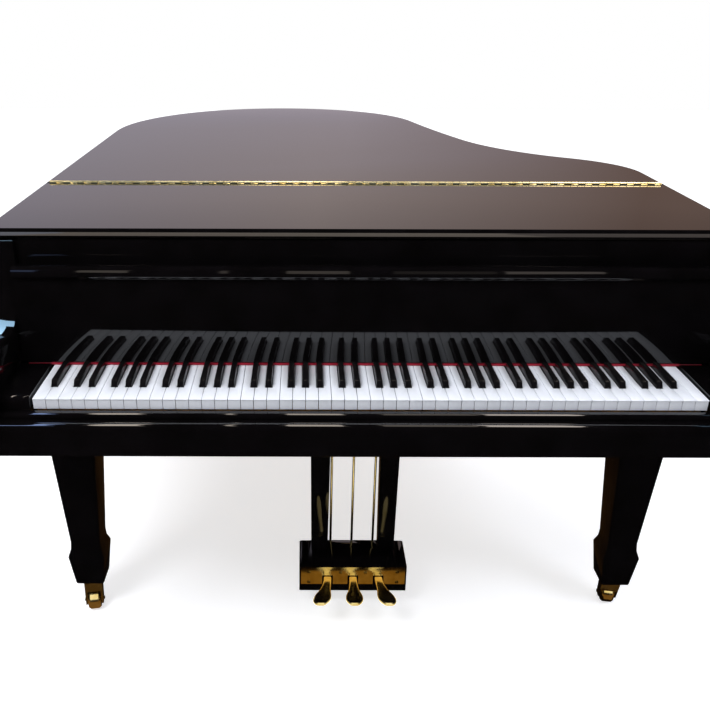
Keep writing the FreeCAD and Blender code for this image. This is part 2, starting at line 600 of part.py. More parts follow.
def sharp_key(left, right):
    """Black key: lever with a tapered top that ends at the fallboard."""
    play, taper = key_gap / 2, number("dims.sharp_taper")
    left, right = left + play, right - play
    front, end = key_front + head + key_gap, key_front + reach - 3
    rise, slope = key_top + number("dims.sharp_rise"), number("dims.sharp_slope")
    cover = key_top - number("dims.key_cover")

    def ring(x0, x1, y0, y1, level):
        spots = [Vector(x, y, level) for x, y in ((x0, y0), (x1, y0), (x1, y1), (x0, y1), (x0, y0))]
        return Part.makePolygon(spots)

    lever_solid = prism([(left, front), (right, front), (right, key_front + lever), (left, key_front + lever)],
                        key_under, cover)
    top = Part.makeLoft([ring(left, right, front, end, cover),
                         ring(left + taper, right - taper, front + slope, end, rise)], True, True)
    return lever_solid.fuse(top)


key_solids = {name: [] for name in NOTE_NAMES}
key_middles = []
for key in range(KEY_COUNT):
    octave, note = divmod(key + FIRST_NOTE, 12)
    origin = -number(KEYBOARD_HALF) + (7 * octave - 5) * pitch
    tail_left, tail_right = (origin + limit for limit in tail_limits(note))
    if note in NATURALS:
        head_left = origin + NATURALS.index(note) * pitch
        tail_left = head_left if key == 0 else tail_left
        tail_right = head_left + pitch if key == KEY_COUNT - 1 else tail_right
        solid = natural_key(head_left, tail_left, tail_right)
    else:
        solid = sharp_key(tail_left, tail_right)
    key_solids[NOTE_NAMES[note]].append(solid)
    key_middles.append((tail_left + tail_right) / 2)
keys = [solid_feature(f"keys_{name}", Part.makeCompound(solids)) for name, solids in key_solids.items()]

# Key frame: front, balance and back rails joined by slats and end pieces
frame_low = f"({WELL_FLOOR} + dims.fit_gap)"
rail_top = f"({KEY_UNDER} - dims.fit_gap)"
slat_top = f"({frame_low} + 2.7)"
rail_width = f"2 * {KEYBOARD_HALF}"
frame_end = f"({KEYBOARD_HALF} + 4)"
frame_rails = [
    block("front_rail", (rail_width, "55", f"{slat_top} - {frame_low}"),
          (f"-{KEYBOARD_HALF}", f"{KEY_FRONT} + 6", frame_low)),
    block("balance_rail", (rail_width, "12", f"{rail_top} - {frame_low}"),
          (f"-{KEYBOARD_HALF}", f"{KEY_FRONT} + dims.balance_setback - 6", frame_low)),
    block("back_rail", (f"2 * ({frame_end} + 16)", "36", f"{rail_top} - {frame_low}"),
          (f"-({frame_end} + 16)", f"{KEY_FRONT} + dims.key_length - 40", frame_low)),
]
for index in range(7):
    frame_rails.append(block(f"frame_slat{index}", ("40", "dims.key_length - 20", f"{slat_top} - {frame_low}"),
                             (f"({index} - 3) * {KEYBOARD_HALF} / 3.4 - 20", f"{KEY_FRONT} + 8", frame_low)))
key_frame = fuse("key_frame", frame_rails)

# Action: end brackets with the hammer rail and the rest rail, and 88 hammers
ACTION_RAIL_Z = "(dims.key_top + 68)"
hammer_line = f"({KEY_FRONT} + 296)"
action_pieces = [
    block("hammer_rail", (f"2 * ({frame_end} + 12)", "26", "18"), (f"-({frame_end} + 12)", hammer_line, ACTION_RAIL_Z)),
    block("rest_rail", (f"2 * ({frame_end} + 12)", "22", "12"),
          (f"-({frame_end} + 12)", f"{hammer_line} + 54", f"{ACTION_RAIL_Z} + 2")),
]
right_bracket = block("right_bracket", ("8", "90", f"{ACTION_RAIL_Z} + 18 - {rail_top}"),
                      (f"{frame_end} + 4", f"{KEY_FRONT} + dims.key_length - 104", rail_top))
action_rails = fuse("action_rails", action_pieces + [right_bracket, mirror("left_bracket", right_bracket)])


def hammer(middle):
    """Shank from the hammer rail to the strike line with a tapered felt head."""
    rail_level = number(f"{ACTION_RAIL_Z} + 18 + dims.fit_gap")
    start, strike = number(hammer_line) + 4, number(STRIKE)
    shank = Part.makeBox(4, strike - start, 6, Vector(middle - 2, start, rail_level))
    low, high = rail_level - 4, rail_level + 46
    profile = ((strike - 6, low), (strike + 6, low), (strike + 14, low + 30), (strike, high), (strike - 14, low + 30))
    spots = [Vector(middle - 4.5, y, z) for y, z in profile]
    return shank.fuse(Part.Face(Part.makePolygon(spots + spots[:1])).extrude(Vector(9, 0, 0)))


hammers = solid_feature("hammers", Part.makeCompound([hammer(middle) for middle in key_middles]))

# Scale: where every note's string starts, how it slants and how long it is
SECTIONS = ((20, 42), (42, 58), (58, 73), (73, 88))
BASS_NOTES = SECTIONS[0][0]
BAR_STARTS = (-0.595, -0.235, 0.18, 0.565, 0.94)
BAR_SLANTS = (7, 5.5, 4, 2.5, 1)
half_inside = number(RIM_INNER)
strike_y, string_z, bass_z = (number(text) for text in (
    STRIKE, "dims.string_height", "dims.string_height + dims.bass_rise"))
string_room = number(f"{TAIL} - dims.lid_overhang - dims.rim_wall - {STRIKE}")
LONGEST_PLAIN, SHORTEST_PLAIN = 0.735, 0.036
LONGEST_BASS, SHORTEST_BASS = 0.86, 0.66
BASS_SLANT = 13
HITCH_SHARE = 0.09
PLAIN_WIRE, BASS_WIRE, BASS_TAPER = 1.2, 4.0, 0.1
PIN_SETBACK, PIN_ROW, PIN_WIDTH = 73, 32, 5.5


def wire_width(note):
    return BASS_WIRE - note * BASS_TAPER if note < BASS_NOTES else PLAIN_WIRE


def string_course(note):
    """Start, heading and sounding length of a note's string (note 0 is the lowest)."""
    if note < BASS_NOTES:
        share = note / (BASS_NOTES - 1)
        start = half_inside * (-0.935 + share * 0.305)
        length = string_room * (LONGEST_BASS + (SHORTEST_BASS - LONGEST_BASS) * share)
        slant = math.radians(BASS_SLANT)
        level = bass_z - (BASS_WIRE - wire_width(note)) / 2
        return Vector(start, strike_y, level), Vector(math.sin(slant), math.cos(slant)), length
    section = next(index for index, (low, high) in enumerate(SECTIONS) if low <= note < high)
    low, high = SECTIONS[section]
    share = 0.09 + 0.82 * (note - low) / (high - low - 1)
    left, right = BAR_STARTS[section:section + 2]
    lean_left, lean_right = BAR_SLANTS[section:section + 2]
    slant = -math.radians(lean_left + share * (lean_right - lean_left))
    fall = (note - BASS_NOTES) / (KEY_COUNT - 1 - BASS_NOTES)
    length = string_room * LONGEST_PLAIN * (SHORTEST_PLAIN / LONGEST_PLAIN) ** fall
    start = Vector(half_inside * (left + share * (right - left)), strike_y, string_z)
    return start, Vector(math.sin(slant), math.cos(slant)), length


def along_string(note, distance):
    start, heading, length = string_course(note)
    return start + heading * distance


def hitch_point(note, extra=0):
    length = string_course(note)[2]
    return along_string(note, length * (1 + HITCH_SHARE) + 24 + extra)


def flat(point, level=0):
    return Vector(point.x, point.y, level)


def string_prism(note, width, before):
    """Square wire from the tuning pin to the hitch pin."""
    start, heading, length = string_course(note)
    first, last = along_string(note, -before), hitch_point(note)
    side = Vector(heading.y, -heading.x) * (width / 2)
    low, high = Vector(0, 0, -width / 2), Vector(0, 0, width / 2)
    ring = [first + side + low, first - side + low, first - side + high, first + side + high]
    return Part.Face(Part.makePolygon(ring + ring[:1])).extrude(last - first)


def pin_distance(note):
    """Distance from the strike line to the tuning pin, in three staggered rows."""
    return PIN_SETBACK + PIN_ROW * (note % 3)


plain_strings = solid_feature("plain_strings", Part.makeCompound(
    [string_prism(note, wire_width(note), pin_distance(note)) for note in range(BASS_NOTES, KEY_COUNT)]))
wound_strings = solid_feature("wound_strings", Part.makeCompound(
    [string_prism(note, wire_width(note), pin_distance(note)) for note in range(BASS_NOTES)]))


def tuning_pin(note):
    """Pin at the end of a string, square to it."""
    heading = string_course(note)[1]
    spot = flat(along_string(note, -pin_distance(note) - 4), number(WEB_TOP))
    top = string_z + 14 if note >= BASS_NOTES else bass_z + 8
    pin = Part.makeBox(PIN_WIDTH, PIN_WIDTH, top - spot.z, spot - Vector(PIN_WIDTH / 2, PIN_WIDTH / 2, 0))
    return pin.rotate(spot, AXIS_Z, math.degrees(math.atan2(-heading.x, heading.y)))


tuning_pins = solid_feature("tuning_pins", Part.makeCompound([tuning_pin(note) for note in range(KEY_COUNT)]))

# Soundboard on the ledge of the rim and the belly rail, with ribs below and bridges above
board_inset = wall_inset + number("dims.fit_gap")
soundboard = raised("soundboard", outline_face(board_inset, number(BELLY)), "dims.soundboard_thickness", SOUNDBOARD_UNDER)
RIB_COUNT, RIB_WIDTH, RIB_HEIGHT, RIB_ANGLE = 9, 22, 24, -32


def beam(start, end, width, bottom, top):
    """Straight beam between two plan points."""
    side = (end - start).cross(AXIS_Z).normalize() * (width / 2)
    return prism([(point.x, point.y) for point in (start + side, end + side, end - side, start - side)], bottom, top)


def inside(inset, start, bottom, top):
    """Space inside the case drawn in by inset."""
    face = outline_face(inset, start)
    face.translate(Vector(0, 0, bottom))
    return face.extrude(Vector(0, 0, top - bottom))


def rib_beam(index):
    middle = Vector(0, number(BELLY) + 90 + index * string_room / RIB_COUNT)
    reach_out = Rotation(AXIS_Z, RIB_ANGLE).multVec(Vector(number("dims.case_width"), 0, 0))
    return beam(middle - reach_out, middle + reach_out, RIB_WIDTH, rib_low, rib_high)


rib_high = number(SOUNDBOARD_UNDER)
rib_low = rib_high - RIB_HEIGHT
rib_space = inside(ledge_inset + 6, number(f"{BELLY} + dims.belly_rail_width + 6"), rib_low, rib_high)
soundboard_ribs = solid_feature("soundboard_ribs", Part.makeCompound(
    [solid for index in range(RIB_COUNT) for solid in rib_space.common(rib_beam(index)).Solids]))


def curved_rail(points, width, bottom, top):
    """Rail of even width along a smooth curve through plan points."""
    curve = Part.BSplineCurve()
    curve.interpolate(points)
    steps = [curve.FirstParameter + (curve.LastParameter - curve.FirstParameter) * step / 14 for step in range(15)]
    sides = []
    for sign in (1, -1):
        edge = Part.BSplineCurve()
        edge.interpolate([curve.value(step) + curve.tangent(step)[0].cross(AXIS_Z) * (sign * width / 2)
                          for step in steps])
        sides.append(edge)
    outer, inner = sides
    wire = Part.Wire([outer.toShape(), Part.makeLine(outer.EndPoint, inner.EndPoint),
                      inner.toShape(), Part.makeLine(inner.StartPoint, outer.StartPoint)])
    face = Part.Face(wire)
    face.translate(Vector(0, 0, bottom))
    return face.extrude(Vector(0, 0, top - bottom))


bridge_low = number(SOUNDBOARD_TOP)
wire_play = number("dims.fit_gap")
BRIDGE_NOTES = (20, 22, 25, 28, 32, 37, 44, 52, 60, 68, 76, 87)
long_bridge = curved_rail([flat(along_string(note, string_course(note)[2])) for note in BRIDGE_NOTES], 32,
                          bridge_low, string_z - PLAIN_WIRE / 2 - wire_play)
bass_bridge = curved_rail([flat(along_string(note, string_course(note)[2])) for note in (0, 6, 13, 19)], 34,
                          bridge_low, bass_z - BASS_WIRE / 2 - wire_play)
bridges = solid_feature("bridges", Part.makeCompound([long_bridge, bass_bridge]))

# Back frame: belly rail across the case and beams fanning out to the rim
BEAM_WIDTH, BEAM_HEIGHT = 62, 105
beam_low = number("dims.case_bottom")
beam_start = number(f"{BELLY} + dims.belly_rail_width")
belly_rail = Part.makeBox(2 * half_inside - 2 * wire_play, number("dims.belly_rail_width"),
                          number(SOUNDBOARD_UNDER) - beam_low,
                          Vector(-half_inside + wire_play, number(BELLY), beam_low))
beam_space = inside(ledge_inset + wire_play, beam_start, beam_low, beam_low + BEAM_HEIGHT)
apex = Vector(number(f"-{HALF_WIDTH} + dims.tail_inset"), number(TAIL))
BEAM_FANS = ((-0.62, -0.62), (-0.2, apex.x / half_inside), (0.22, 0.1), (0.62, 0.42))
beams = [beam_space.common(beam(Vector(half_inside * start, beam_start), Vector(half_inside * end, apex.y),
                                BEAM_WIDTH, beam_low, beam_low + BEAM_HEIGHT)) for start, end in BEAM_FANS]
beams = [solid for shape in beams for solid in shape.Solids]
back_braces = solid_feature("back_braces", belly_rail.fuse(beams).removeSplitter())

# Iron plate: web with openings for the strings, round holes along the bent side, bars and a flange
plate_inset = wall_inset + number("dims.plate_clearance")
web_low, web_high = number(WEB_UNDER), number(WEB_TOP)
plate_front = number(PLATE_FRONT)
open_front = strike_y - 14


def smooth_edge(points):
    curve = Part.BSplineCurve()
    curve.interpolate(points)
    return curve.toShape()


def cut_face(points, curve_points):
    """Face bounded by straight runs through points and one smooth run back."""
    corners = points + curve_points[:1]
    lines = [Part.makeLine(here, there) for here, there in zip(corners, corners[1:])]
    closing = Part.makeLine(curve_points[-1], points[0])
    return Part.Face(Part.Wire(lines + [smooth_edge(curve_points), closing]))


spine_web = -half_inside + 62
treble_end = hitch_point(KEY_COUNT - 1, -10)
treble_web = treble_end.x + 28
string_opening = cut_face(
    [Vector(spine_web, strike_y + 380), Vector(spine_web, open_front), Vector(treble_web, open_front),
     Vector(treble_web, treble_end.y)],
    [flat(hitch_point(note, -10)) for note in BRIDGE_NOTES[::-1]])
side_of_bass = Vector(math.cos(math.radians(BASS_SLANT)), -math.sin(math.radians(BASS_SLANT))) * 40
bass_corners = [flat(spot) for spot in (
    along_string(0, string_course(0)[2] * 0.88) - side_of_bass, hitch_point(0, -10) - side_of_bass,
    hitch_point(19, -10) + side_of_bass, along_string(19, string_course(19)[2] * 0.8) + side_of_bass)]
bass_opening = Part.Face(Part.makePolygon(bass_corners + bass_corners[:1]))
plate_space = inside(plate_inset, plate_front, web_low, web_high)


def opening(face, top):
    space = face.copy()
    space.translate(Vector(0, 0, web_low - 1))
    return space.extrude(Vector(0, 0, top - web_low + 1))


# Round holes as shares of the inside half width and of the string room, with radius in mm
SOUND_HOLES = ((0.33, 0.266, 52), (0.315, 0.358, 56), (0.297, 0.453, 58), (0.278, 0.548, 54), (0.252, 0.64, 46),
               (-0.066, 0.428, 52), (-0.08, 0.523, 56), (-0.088, 0.618, 56), (-0.073, 0.713, 50),
               (-0.03, 0.805, 44), (0.666, 0.279, 46), (0.813, 0.193, 38))
sound_holes = [Part.makeCylinder(radius, web_high - web_low + 2,
                                 Vector(half_inside * across, strike_y + string_room * deep, web_low - 1))
               for across, deep, radius in SOUND_HOLES]
flange = inside(plate_inset, number(BELLY) + 2, bridge_low, web_low).cut(
    inside(plate_inset + 24, number(BELLY), bridge_low - 1, web_low + 1))
bar_top = web_high + number("dims.bar_height")
bar_space = inside(plate_inset, open_front - 30, web_low, bar_top).cut(opening(string_opening, string_z + 3))


def plate_bar(start, slant, note):
    """Bar from the pin field over the strings to the web behind the given note."""
    first = Vector(half_inside * start, strike_y)
    heading = Vector(-math.sin(math.radians(slant)), math.cos(math.radians(slant)))
    run = string_course(note)[2] * (1 + HITCH_SHARE) + 110
    return bar_space.common(beam(first - heading * 60, first + heading * run,
                                 number("dims.bar_width"), web_low, bar_top))


BAR_NOTES = [low for low, high in SECTIONS] + [KEY_COUNT - 1]
bars = [plate_bar(*bar) for bar in zip(BAR_STARTS, BAR_SLANTS, BAR_NOTES)]
agraffe_rail = Part.makeBox(2 * half_inside * 0.93, 12, string_z - PLAIN_WIRE / 2 - wire_play - web_high,
                            Vector(-half_inside * 0.93, open_front - 14, web_high))
openings = [opening(face, web_high + 1) for face in (string_opening, bass_opening)]
web = plate_space.cut(openings + sound_holes)
iron_plate = solid_feature("iron_plate", web.fuse([flange, agraffe_rail] + bars).removeSplitter())

# Pin block under the front of the plate, between the arms
pin_block = block("pin_block", (board_width, "160", "dims.pin_block_thickness"),
                  (f"-({cheek_end})", f"{PLATE_FRONT} + 4", f"{WEB_UNDER} - dims.pin_block_thickness"))

# Dampers: a head with its felt on the strings of every damped note
DAMPER_COUNT = 67
DAMPER_LENGTH, DAMPER_HEIGHT = 38, 30


def damper(note):
    start, heading, length = string_course(note)
    width = 7.5 if note < BASS_NOTES else 9
    low = start.z + wire_width(note) / 2 + wire_play
    side = Vector(heading.y, -heading.x)
    spot = along_string(note, 36)

    def ring(half, run, level):
        corners = ((-half, 0), (half, 0), (half, run), (-half, run), (-half, 0))
        return Part.makePolygon([flat(spot + side * across + heading * deep, level) for across, deep in corners])

    felt = Part.makeLoft([ring(width * 0.3, DAMPER_LENGTH, low), ring(width / 2, DAMPER_LENGTH, low + 12)], True, True)
    return felt.fuse(prism([(v.Point.x, v.Point.y) for v in ring(width / 2, DAMPER_LENGTH, 0).OrderedVertexes[:4]],
                           low + 12, start.z + DAMPER_HEIGHT - (14 if note < BASS_NOTES else 0)))


dampers = solid_feature("dampers", Part.makeCompound([damper(note) for note in range(DAMPER_COUNT)]))

# Prop stick lying along the bent side, on a bracket at the rim
PROP_SETBACK = f"({KEY_FRONT} + 1165)"
PROP_HEADING = math.radians(17.5)
PROP_TILT = 0.55
prop_axis_a = Vector(math.sin(PROP_HEADING), -math.cos(PROP_HEADING), 0)
prop_lean = -PROP_TILT * math.sin(PROP_HEADING) / math.cos(PROP_HEADING)
prop_axis_d = Vector(-PROP_TILT, prop_lean, math.sqrt(1 - PROP_TILT ** 2 - prop_lean ** 2))
prop_axis_n = prop_axis_a.cross(prop_axis_d)
prop_y = number(PROP_SETBACK)
reach_line = Part.makeLine(Vector(-number(HALF_WIDTH), prop_y), Vector(number(HALF_WIDTH), prop_y))
prop_x = outline_face(wall_inset + 34, number(LID_FRONT)).common(reach_line).BoundBox.XMax
prop_spot = Vector(prop_x, prop_y, number("dims.prop_height"))
prop_frame = FreeCAD.Placement(prop_spot, Rotation(prop_axis_a, prop_axis_d, prop_axis_n, "XYZ"))


def prop_stick():
    """Stick with a rounded tip and an eye, drawn flat: length along X, width along Y."""
    length, half, thick = number("dims.prop_length"), number("dims.prop_width / 2"), number("dims.prop_thickness")
    tip = half * 0.7
    edges = [Part.makeLine(Vector(0, -half), Vector(length - tip, -tip)),
             Part.Arc(Vector(length - tip, -tip), Vector(length, 0), Vector(length - tip, tip)).toShape(),
             Part.makeLine(Vector(length - tip, tip), Vector(0, half)),
             Part.Arc(Vector(0, half), Vector(-half, 0), Vector(0, -half)).toShape()]
    face = Part.Face(Part.Wire(edges))
    face.translate(Vector(0, 0, -thick / 2))
    eye = Part.makeCylinder(5 + number("dims.running_fit"), thick + 2, Vector(0, 0, -thick / 2 - 1))
    return face.extrude(Vector(0, 0, thick)).cut(eye)


lid_prop = solid_feature("lid_prop", prop_stick())
lid_prop.Placement = prop_frame


def bracket():
    """Pin through the stick with a head, on a foot that is screwed to the plate web."""
    thick = number("dims.prop_thickness")
    gap = number("dims.fit_gap")
    pin = Part.makeCylinder(5, thick + 22, Vector(0, 0, -thick / 2 - 4))
    cap = Part.makeCylinder(9, 4 - gap, Vector(0, 0, -thick / 2 - 4))
    collar = Part.makeCylinder(9, 18 - gap, Vector(0, 0, thick / 2 + gap))
    arm = pin.fuse([cap, collar])
    arm.Placement = prop_frame
    foot_level = number(WEB_TOP)
    base = prop_frame.multVec(Vector(0, 0, thick / 2 + 14))
    post = Part.makeBox(16, 16, base.z - foot_level, Vector(base.x - 8, base.y - 8, foot_level))
    plate = Part.makeBox(44, 44, 4, Vector(base.x - 22, base.y - 22, foot_level))
    return arm.fuse([post, plate])


prop_bracket = solid_feature("prop_bracket", bracket())

# Music tray inside the case front with the folding music desk lying on it
tray_front = f"({LID_FRONT} + 5)"
TRAY_TOP = "(dims.string_height + 55)"
TRAY_SKIRT = "48"
tray_edge = block("tray_edge", (board_width, "16", f"{RIM_TOP} - {TRAY_TOP} + {TRAY_SKIRT}"),
                  (f"-({cheek_end})", tray_front, f"{TRAY_TOP} - {TRAY_SKIRT}"))
tray_shelf = block("tray_shelf", (board_width, "46", "6"), (f"-({cheek_end})", f"{tray_front} + 10", f"{TRAY_TOP} - 6"))
right_slide = block("right_slide", ("26", "dims.flap_depth - 70", "6"),
                    (f"{cheek_end} - 26", f"{tray_front} + 10", f"{TRAY_TOP} - 6"))
music_tray = fuse("music_tray", [tray_edge, tray_shelf, right_slide, mirror("left_slide", right_slide)])
DESK_HALF, DESK_DEPTH, DESK_THICKNESS = "340", "(dims.flap_depth * 0.67)", "12"
desk_front = f"({tray_front} + 24)"
DESK_AXIS_Z = f"({TRAY_TOP} + dims.fit_gap + {DESK_THICKNESS} / 2)"
desk_board = block("desk_board", (f"2 * {DESK_HALF}", DESK_DEPTH, DESK_THICKNESS),
                   (f"-{DESK_HALF}", desk_front, f"{TRAY_TOP} + dims.fit_gap"))
desk_nose = rod("desk_nose", f"{DESK_THICKNESS} / 2", f"2 * {DESK_HALF}", (f"-{DESK_HALF}", desk_front, DESK_AXIS_Z), AXIS_X)
desk_ledge = block("desk_ledge", (f"2 * {DESK_HALF} - 60", "10", "8"),
                   (f"-{DESK_HALF} + 30", f"{desk_front} + 14", f"{TRAY_TOP} + {DESK_THICKNESS}"))
music_desk = fuse("music_desk", [desk_board, desk_nose, desk_ledge])

# Legs: square and tapered, with a spade foot bored for the caster stem
ANKLE_Z, COVE_Z, SHOULDER_Z = (f"(dims.caster_height + {rise})" for rise in (120, 101, 82))
LEG_X, LEG_Y = f"({RIM_OUTER} - dims.leg_inset)", f"({FRONT} + dims.leg_setback)"
LEG_SPOTS = ((f"-{LEG_X}", LEG_Y), (LEG_X, LEG_Y),
             (f"-{HALF_WIDTH} + dims.tail_inset", f"{TAIL} - dims.tail_leg_inset"))
LEG_NAMES = ("left", "right", "tail")
LEG_CORNER = "4"


def soft_square(width):
    """Square with cut corners, as expressions."""
    edge, inner = f"({width}) / 2", f"(({width}) / 2 - {LEG_CORNER})"
    return ((f"-{inner}", f"-{edge}"), (inner, f"-{edge}"), (edge, f"-{inner}"), (edge, inner),
            (inner, edge), (f"-{inner}", edge), (f"-{edge}", inner), (f"-{edge}", f"-{inner}"))


STEM_RADIUS, STEM_LENGTH = "9", "42"
legs = []
for name, (x, y) in zip(LEG_NAMES, LEG_SPOTS):
    post = lofted(f"{name}_leg_post", (
        (soft_square("dims.leg_toe"), "dims.caster_height"), (soft_square("dims.leg_foot"), SHOULDER_Z),
        (soft_square("dims.leg_ankle + 3"), COVE_Z), (soft_square("dims.leg_ankle"), ANKLE_Z),
        (soft_square("dims.leg_top"), "dims.case_bottom")))
    socket = rod(f"{name}_leg_socket", f"{STEM_RADIUS} + dims.running_fit", f"{STEM_LENGTH} + 2",
                 ("0", "0", "dims.caster_height - 1"), AXIS_Z)
    leg = cut(f"{name}_leg", post, socket)
    legs.append(place(leg, x, y))
leg_set = group("legs", legs)

# Casters: fork on a stem that swivels in the leg, and a crowned wheel on an axle
CASTER_TURNS = (10, 170, -40)
AXLE_RADIUS = "4"
CROWN = "(dims.caster_height - 1)"
casters = []
for name, (x, y), turn in zip(LEG_NAMES, LEG_SPOTS, CASTER_TURNS):
    trail = "(-dims.caster_trail)"
    cheek_x = "(dims.wheel_width / 2 + 1.5)"
    stem = rod(f"{name}_stem", STEM_RADIUS, f"{STEM_LENGTH} + 1", ("0", "0", f"{CROWN} - 1"), AXIS_Z)
    crown = rod(f"{name}_crown", "24", "9", ("0", "0", f"{CROWN} - 9"), AXIS_Z)
    cheek = padded(f"{name}_cheek", "YZ_Plane", (
        ("20", f"{CROWN} - 4"), ("-22", f"{CROWN} - 4"), (f"{trail} - 11", "dims.wheel_radius - 9"),
        (f"{trail} + 11", "dims.wheel_radius - 9")), "5", f"{cheek_x} + 2.5")
    axle = rod(f"{name}_axle", AXLE_RADIUS, f"2 * ({cheek_x} + 8)",
               (f"-{cheek_x} - 8", trail, "dims.wheel_radius"), AXIS_X)
    fork = fuse(f"{name}_caster_fork", [stem, crown, cheek, mirror(f"{name}_cheek_twin", cheek), axle])
    wheel = doc.addObject("PartDesign::Body", f"{name}_caster_wheel")
    half = "(dims.wheel_width / 2)"
    profile = polygon_sketch(wheel, f"{name}_wheel_profile", "XY_Plane", (
        (f"-{half}", f"{AXLE_RADIUS} + dims.running_fit"), (half, f"{AXLE_RADIUS} + dims.running_fit"),
        (half, "dims.wheel_radius - 4"), (f"{half} - 5", "dims.wheel_radius"),
        (f"5 - {half}", "dims.wheel_radius"), (f"-{half}", "dims.wheel_radius - 4")))
    turned = wheel.newObject("PartDesign::Revolution", f"{name}_wheel_turned")
    turned.Profile, turned.ReferenceAxis, turned.Angle = profile, (profile, ["H_Axis"]), 360
    fork.Placement.Rotation = wheel.Placement.Rotation = Rotation(AXIS_Z, turn)
    across, back = math.sin(math.radians(turn)), math.cos(math.radians(turn))
    casters.append(place(fork, x, y))
    casters.append(place(wheel, f"{x} + {across} * dims.caster_trail", f"{y} - {back} * dims.caster_trail",
                         "dims.wheel_radius"))

# Pedal lyre: moulded box, two tapered posts with a top block, and two braces
BOX_FRONT = f"({FRONT} + dims.lyre_setback)"
BOX_BACK = f"({BOX_FRONT} + dims.lyre_depth)"
BOX_TOP = "(dims.lyre_bottom + dims.lyre_rise)"
BOX_HALF = "(dims.lyre_width / 2)"
STEP_TOP = f"({BOX_TOP} + 10)"
POST_LINE = f"({BOX_FRONT} + dims.lyre_depth * 0.56)"
LYRE_BLOCK_LOW = "(dims.case_bottom - 22)"
box_blank = padded("box_blank", "YZ_Plane", (
    (BOX_FRONT, "dims.lyre_bottom"), (BOX_BACK, "dims.lyre_bottom"), (BOX_BACK, BOX_TOP), (BOX_FRONT, BOX_TOP)),
    "dims.lyre_width")
box_level = number(BOX_TOP)
dress(box_blank, (("Chamfer", "6", lambda edge: level_edge(edge, box_level)),))
box_step = padded("box_step", "YZ_Plane", (
    (f"{BOX_FRONT} + 9", f"{BOX_TOP} - 4"), (f"{BOX_BACK} - 9", f"{BOX_TOP} - 4"), (f"{BOX_BACK} - 9", STEP_TOP),
    (f"{BOX_FRONT} + 9", STEP_TOP)), "dims.lyre_width - 44")
step_level = number(STEP_TOP)
dress(box_step, (("Chamfer", "9", lambda edge: level_edge(edge, step_level)),))
SLOT_HALF = "13"
PEDAL_LOW = "(dims.pedal_height - dims.pedal_thickness / 2)"
PEDAL_HIGH = "(dims.pedal_height + dims.pedal_thickness / 2)"
SLOT_LOW, SLOT_HIGH, NOTCH_HIGH = f"({PEDAL_LOW} - 8)", f"({PEDAL_HIGH} + 11)", f"({PEDAL_HIGH} + 2)"
box_spaces = []
for name, spot, rod_spot in zip(PEDAL_NAMES, PEDAL_SPOTS, ROD_SPOTS):
    slot_size = (f"2 * {SLOT_HALF}", "dims.lyre_depth + 2", f"{SLOT_HIGH} - {SLOT_LOW}")
    box_spaces.append(block(f"{name}_slot", slot_size, (f"{spot} - {SLOT_HALF}", f"{BOX_FRONT} - 1", SLOT_LOW)))
    box_spaces.append(rod(f"{name}_rod_bore", ROD_BORE, f"{STEP_TOP} - {SLOT_LOW} - 4",
                          (rod_spot, ROD_LINE, f"{SLOT_LOW} + 5"), AXIS_Z))
pin_line = rod("pedal_pin_line", "3", "dims.lyre_width - 20",
               (f"10 - {BOX_HALF}", PEDAL_PIVOT, "dims.pedal_height"), AXIS_X)
box_shell = fuse("box_shell", [box_blank, box_step])
pedal_box = cut("pedal_box", box_shell, fuse("box_spaces", box_spaces + [pin_line]))
pedal_pin = rod("pedal_pin", "3 - dims.running_fit", "dims.lyre_width - 21",
                (f"10.5 - {BOX_HALF}", PEDAL_PIVOT, "dims.pedal_height"), AXIS_X)
pivot_pins = group("pivot_pins", butt_pins + fallboard_pivots + [pedal_pin])


def tapered_post(name, middle):
    def section(width, depth):
        half, deep = f"({width}) / 2", f"({depth}) / 2"
        corners = ((-1, -1), (1, -1), (1, 1), (-1, 1))
        return tuple((f"{middle} + {across} * {half}", f"{POST_LINE} + {along_y} * {deep}") for across, along_y in corners)
    return lofted(name, ((section("dims.post_foot", "dims.post_foot * 0.72"), STEP_TOP),
                         (section("dims.post_top", "dims.post_top * 0.72"), LYRE_BLOCK_LOW)))


left_post = tapered_post("left_post", "-dims.post_spacing / 2")
right_post = tapered_post("right_post", "dims.post_spacing / 2")
lyre_block = block("lyre_block", ("dims.lyre_width", "dims.lyre_depth * 0.62", f"dims.case_bottom - {LYRE_BLOCK_LOW}"),
                   (f"-{BOX_HALF}", f"{POST_LINE} - dims.lyre_depth * 0.31", LYRE_BLOCK_LOW))
block_bores = [rod(f"{name}_block_bore", ROD_BORE, "40", (spot, ROD_LINE, f"{LYRE_BLOCK_LOW} - 5"), AXIS_Z)
               for name, spot in zip(PEDAL_NAMES, ROD_SPOTS)]
lyre_frame = fuse("lyre_frame", [left_post, right_post, lyre_block])
lyre_posts = cut("lyre_posts", lyre_frame, fuse("block_bores", block_bores))


def brace(side):
    low = Vector(side * number("dims.post_spacing / 2"), number(BOX_BACK) + 6, number(BOX_TOP) - 22)
    high = Vector(low.x, number(f"{BELLY} + dims.belly_rail_width / 2"), beam_low)
    bar = Part.makeCylinder(6, (high - low).Length, low, high - low)
    foot = Part.makeBox(24, 8, 24, low + Vector(-12, -6, -12))
    cap = Part.makeCylinder(13, 6, Vector(high.x, high.y, high.z - 6))
    return bar.fuse([foot, cap]).common(Part.makeBox(60, 600, number("dims.case_bottom"), Vector(low.x - 30, low.y - 6, 0)))


lyre_braces = solid_feature("lyre_braces", Part.makeCompound([brace(-1), brace(1)]))

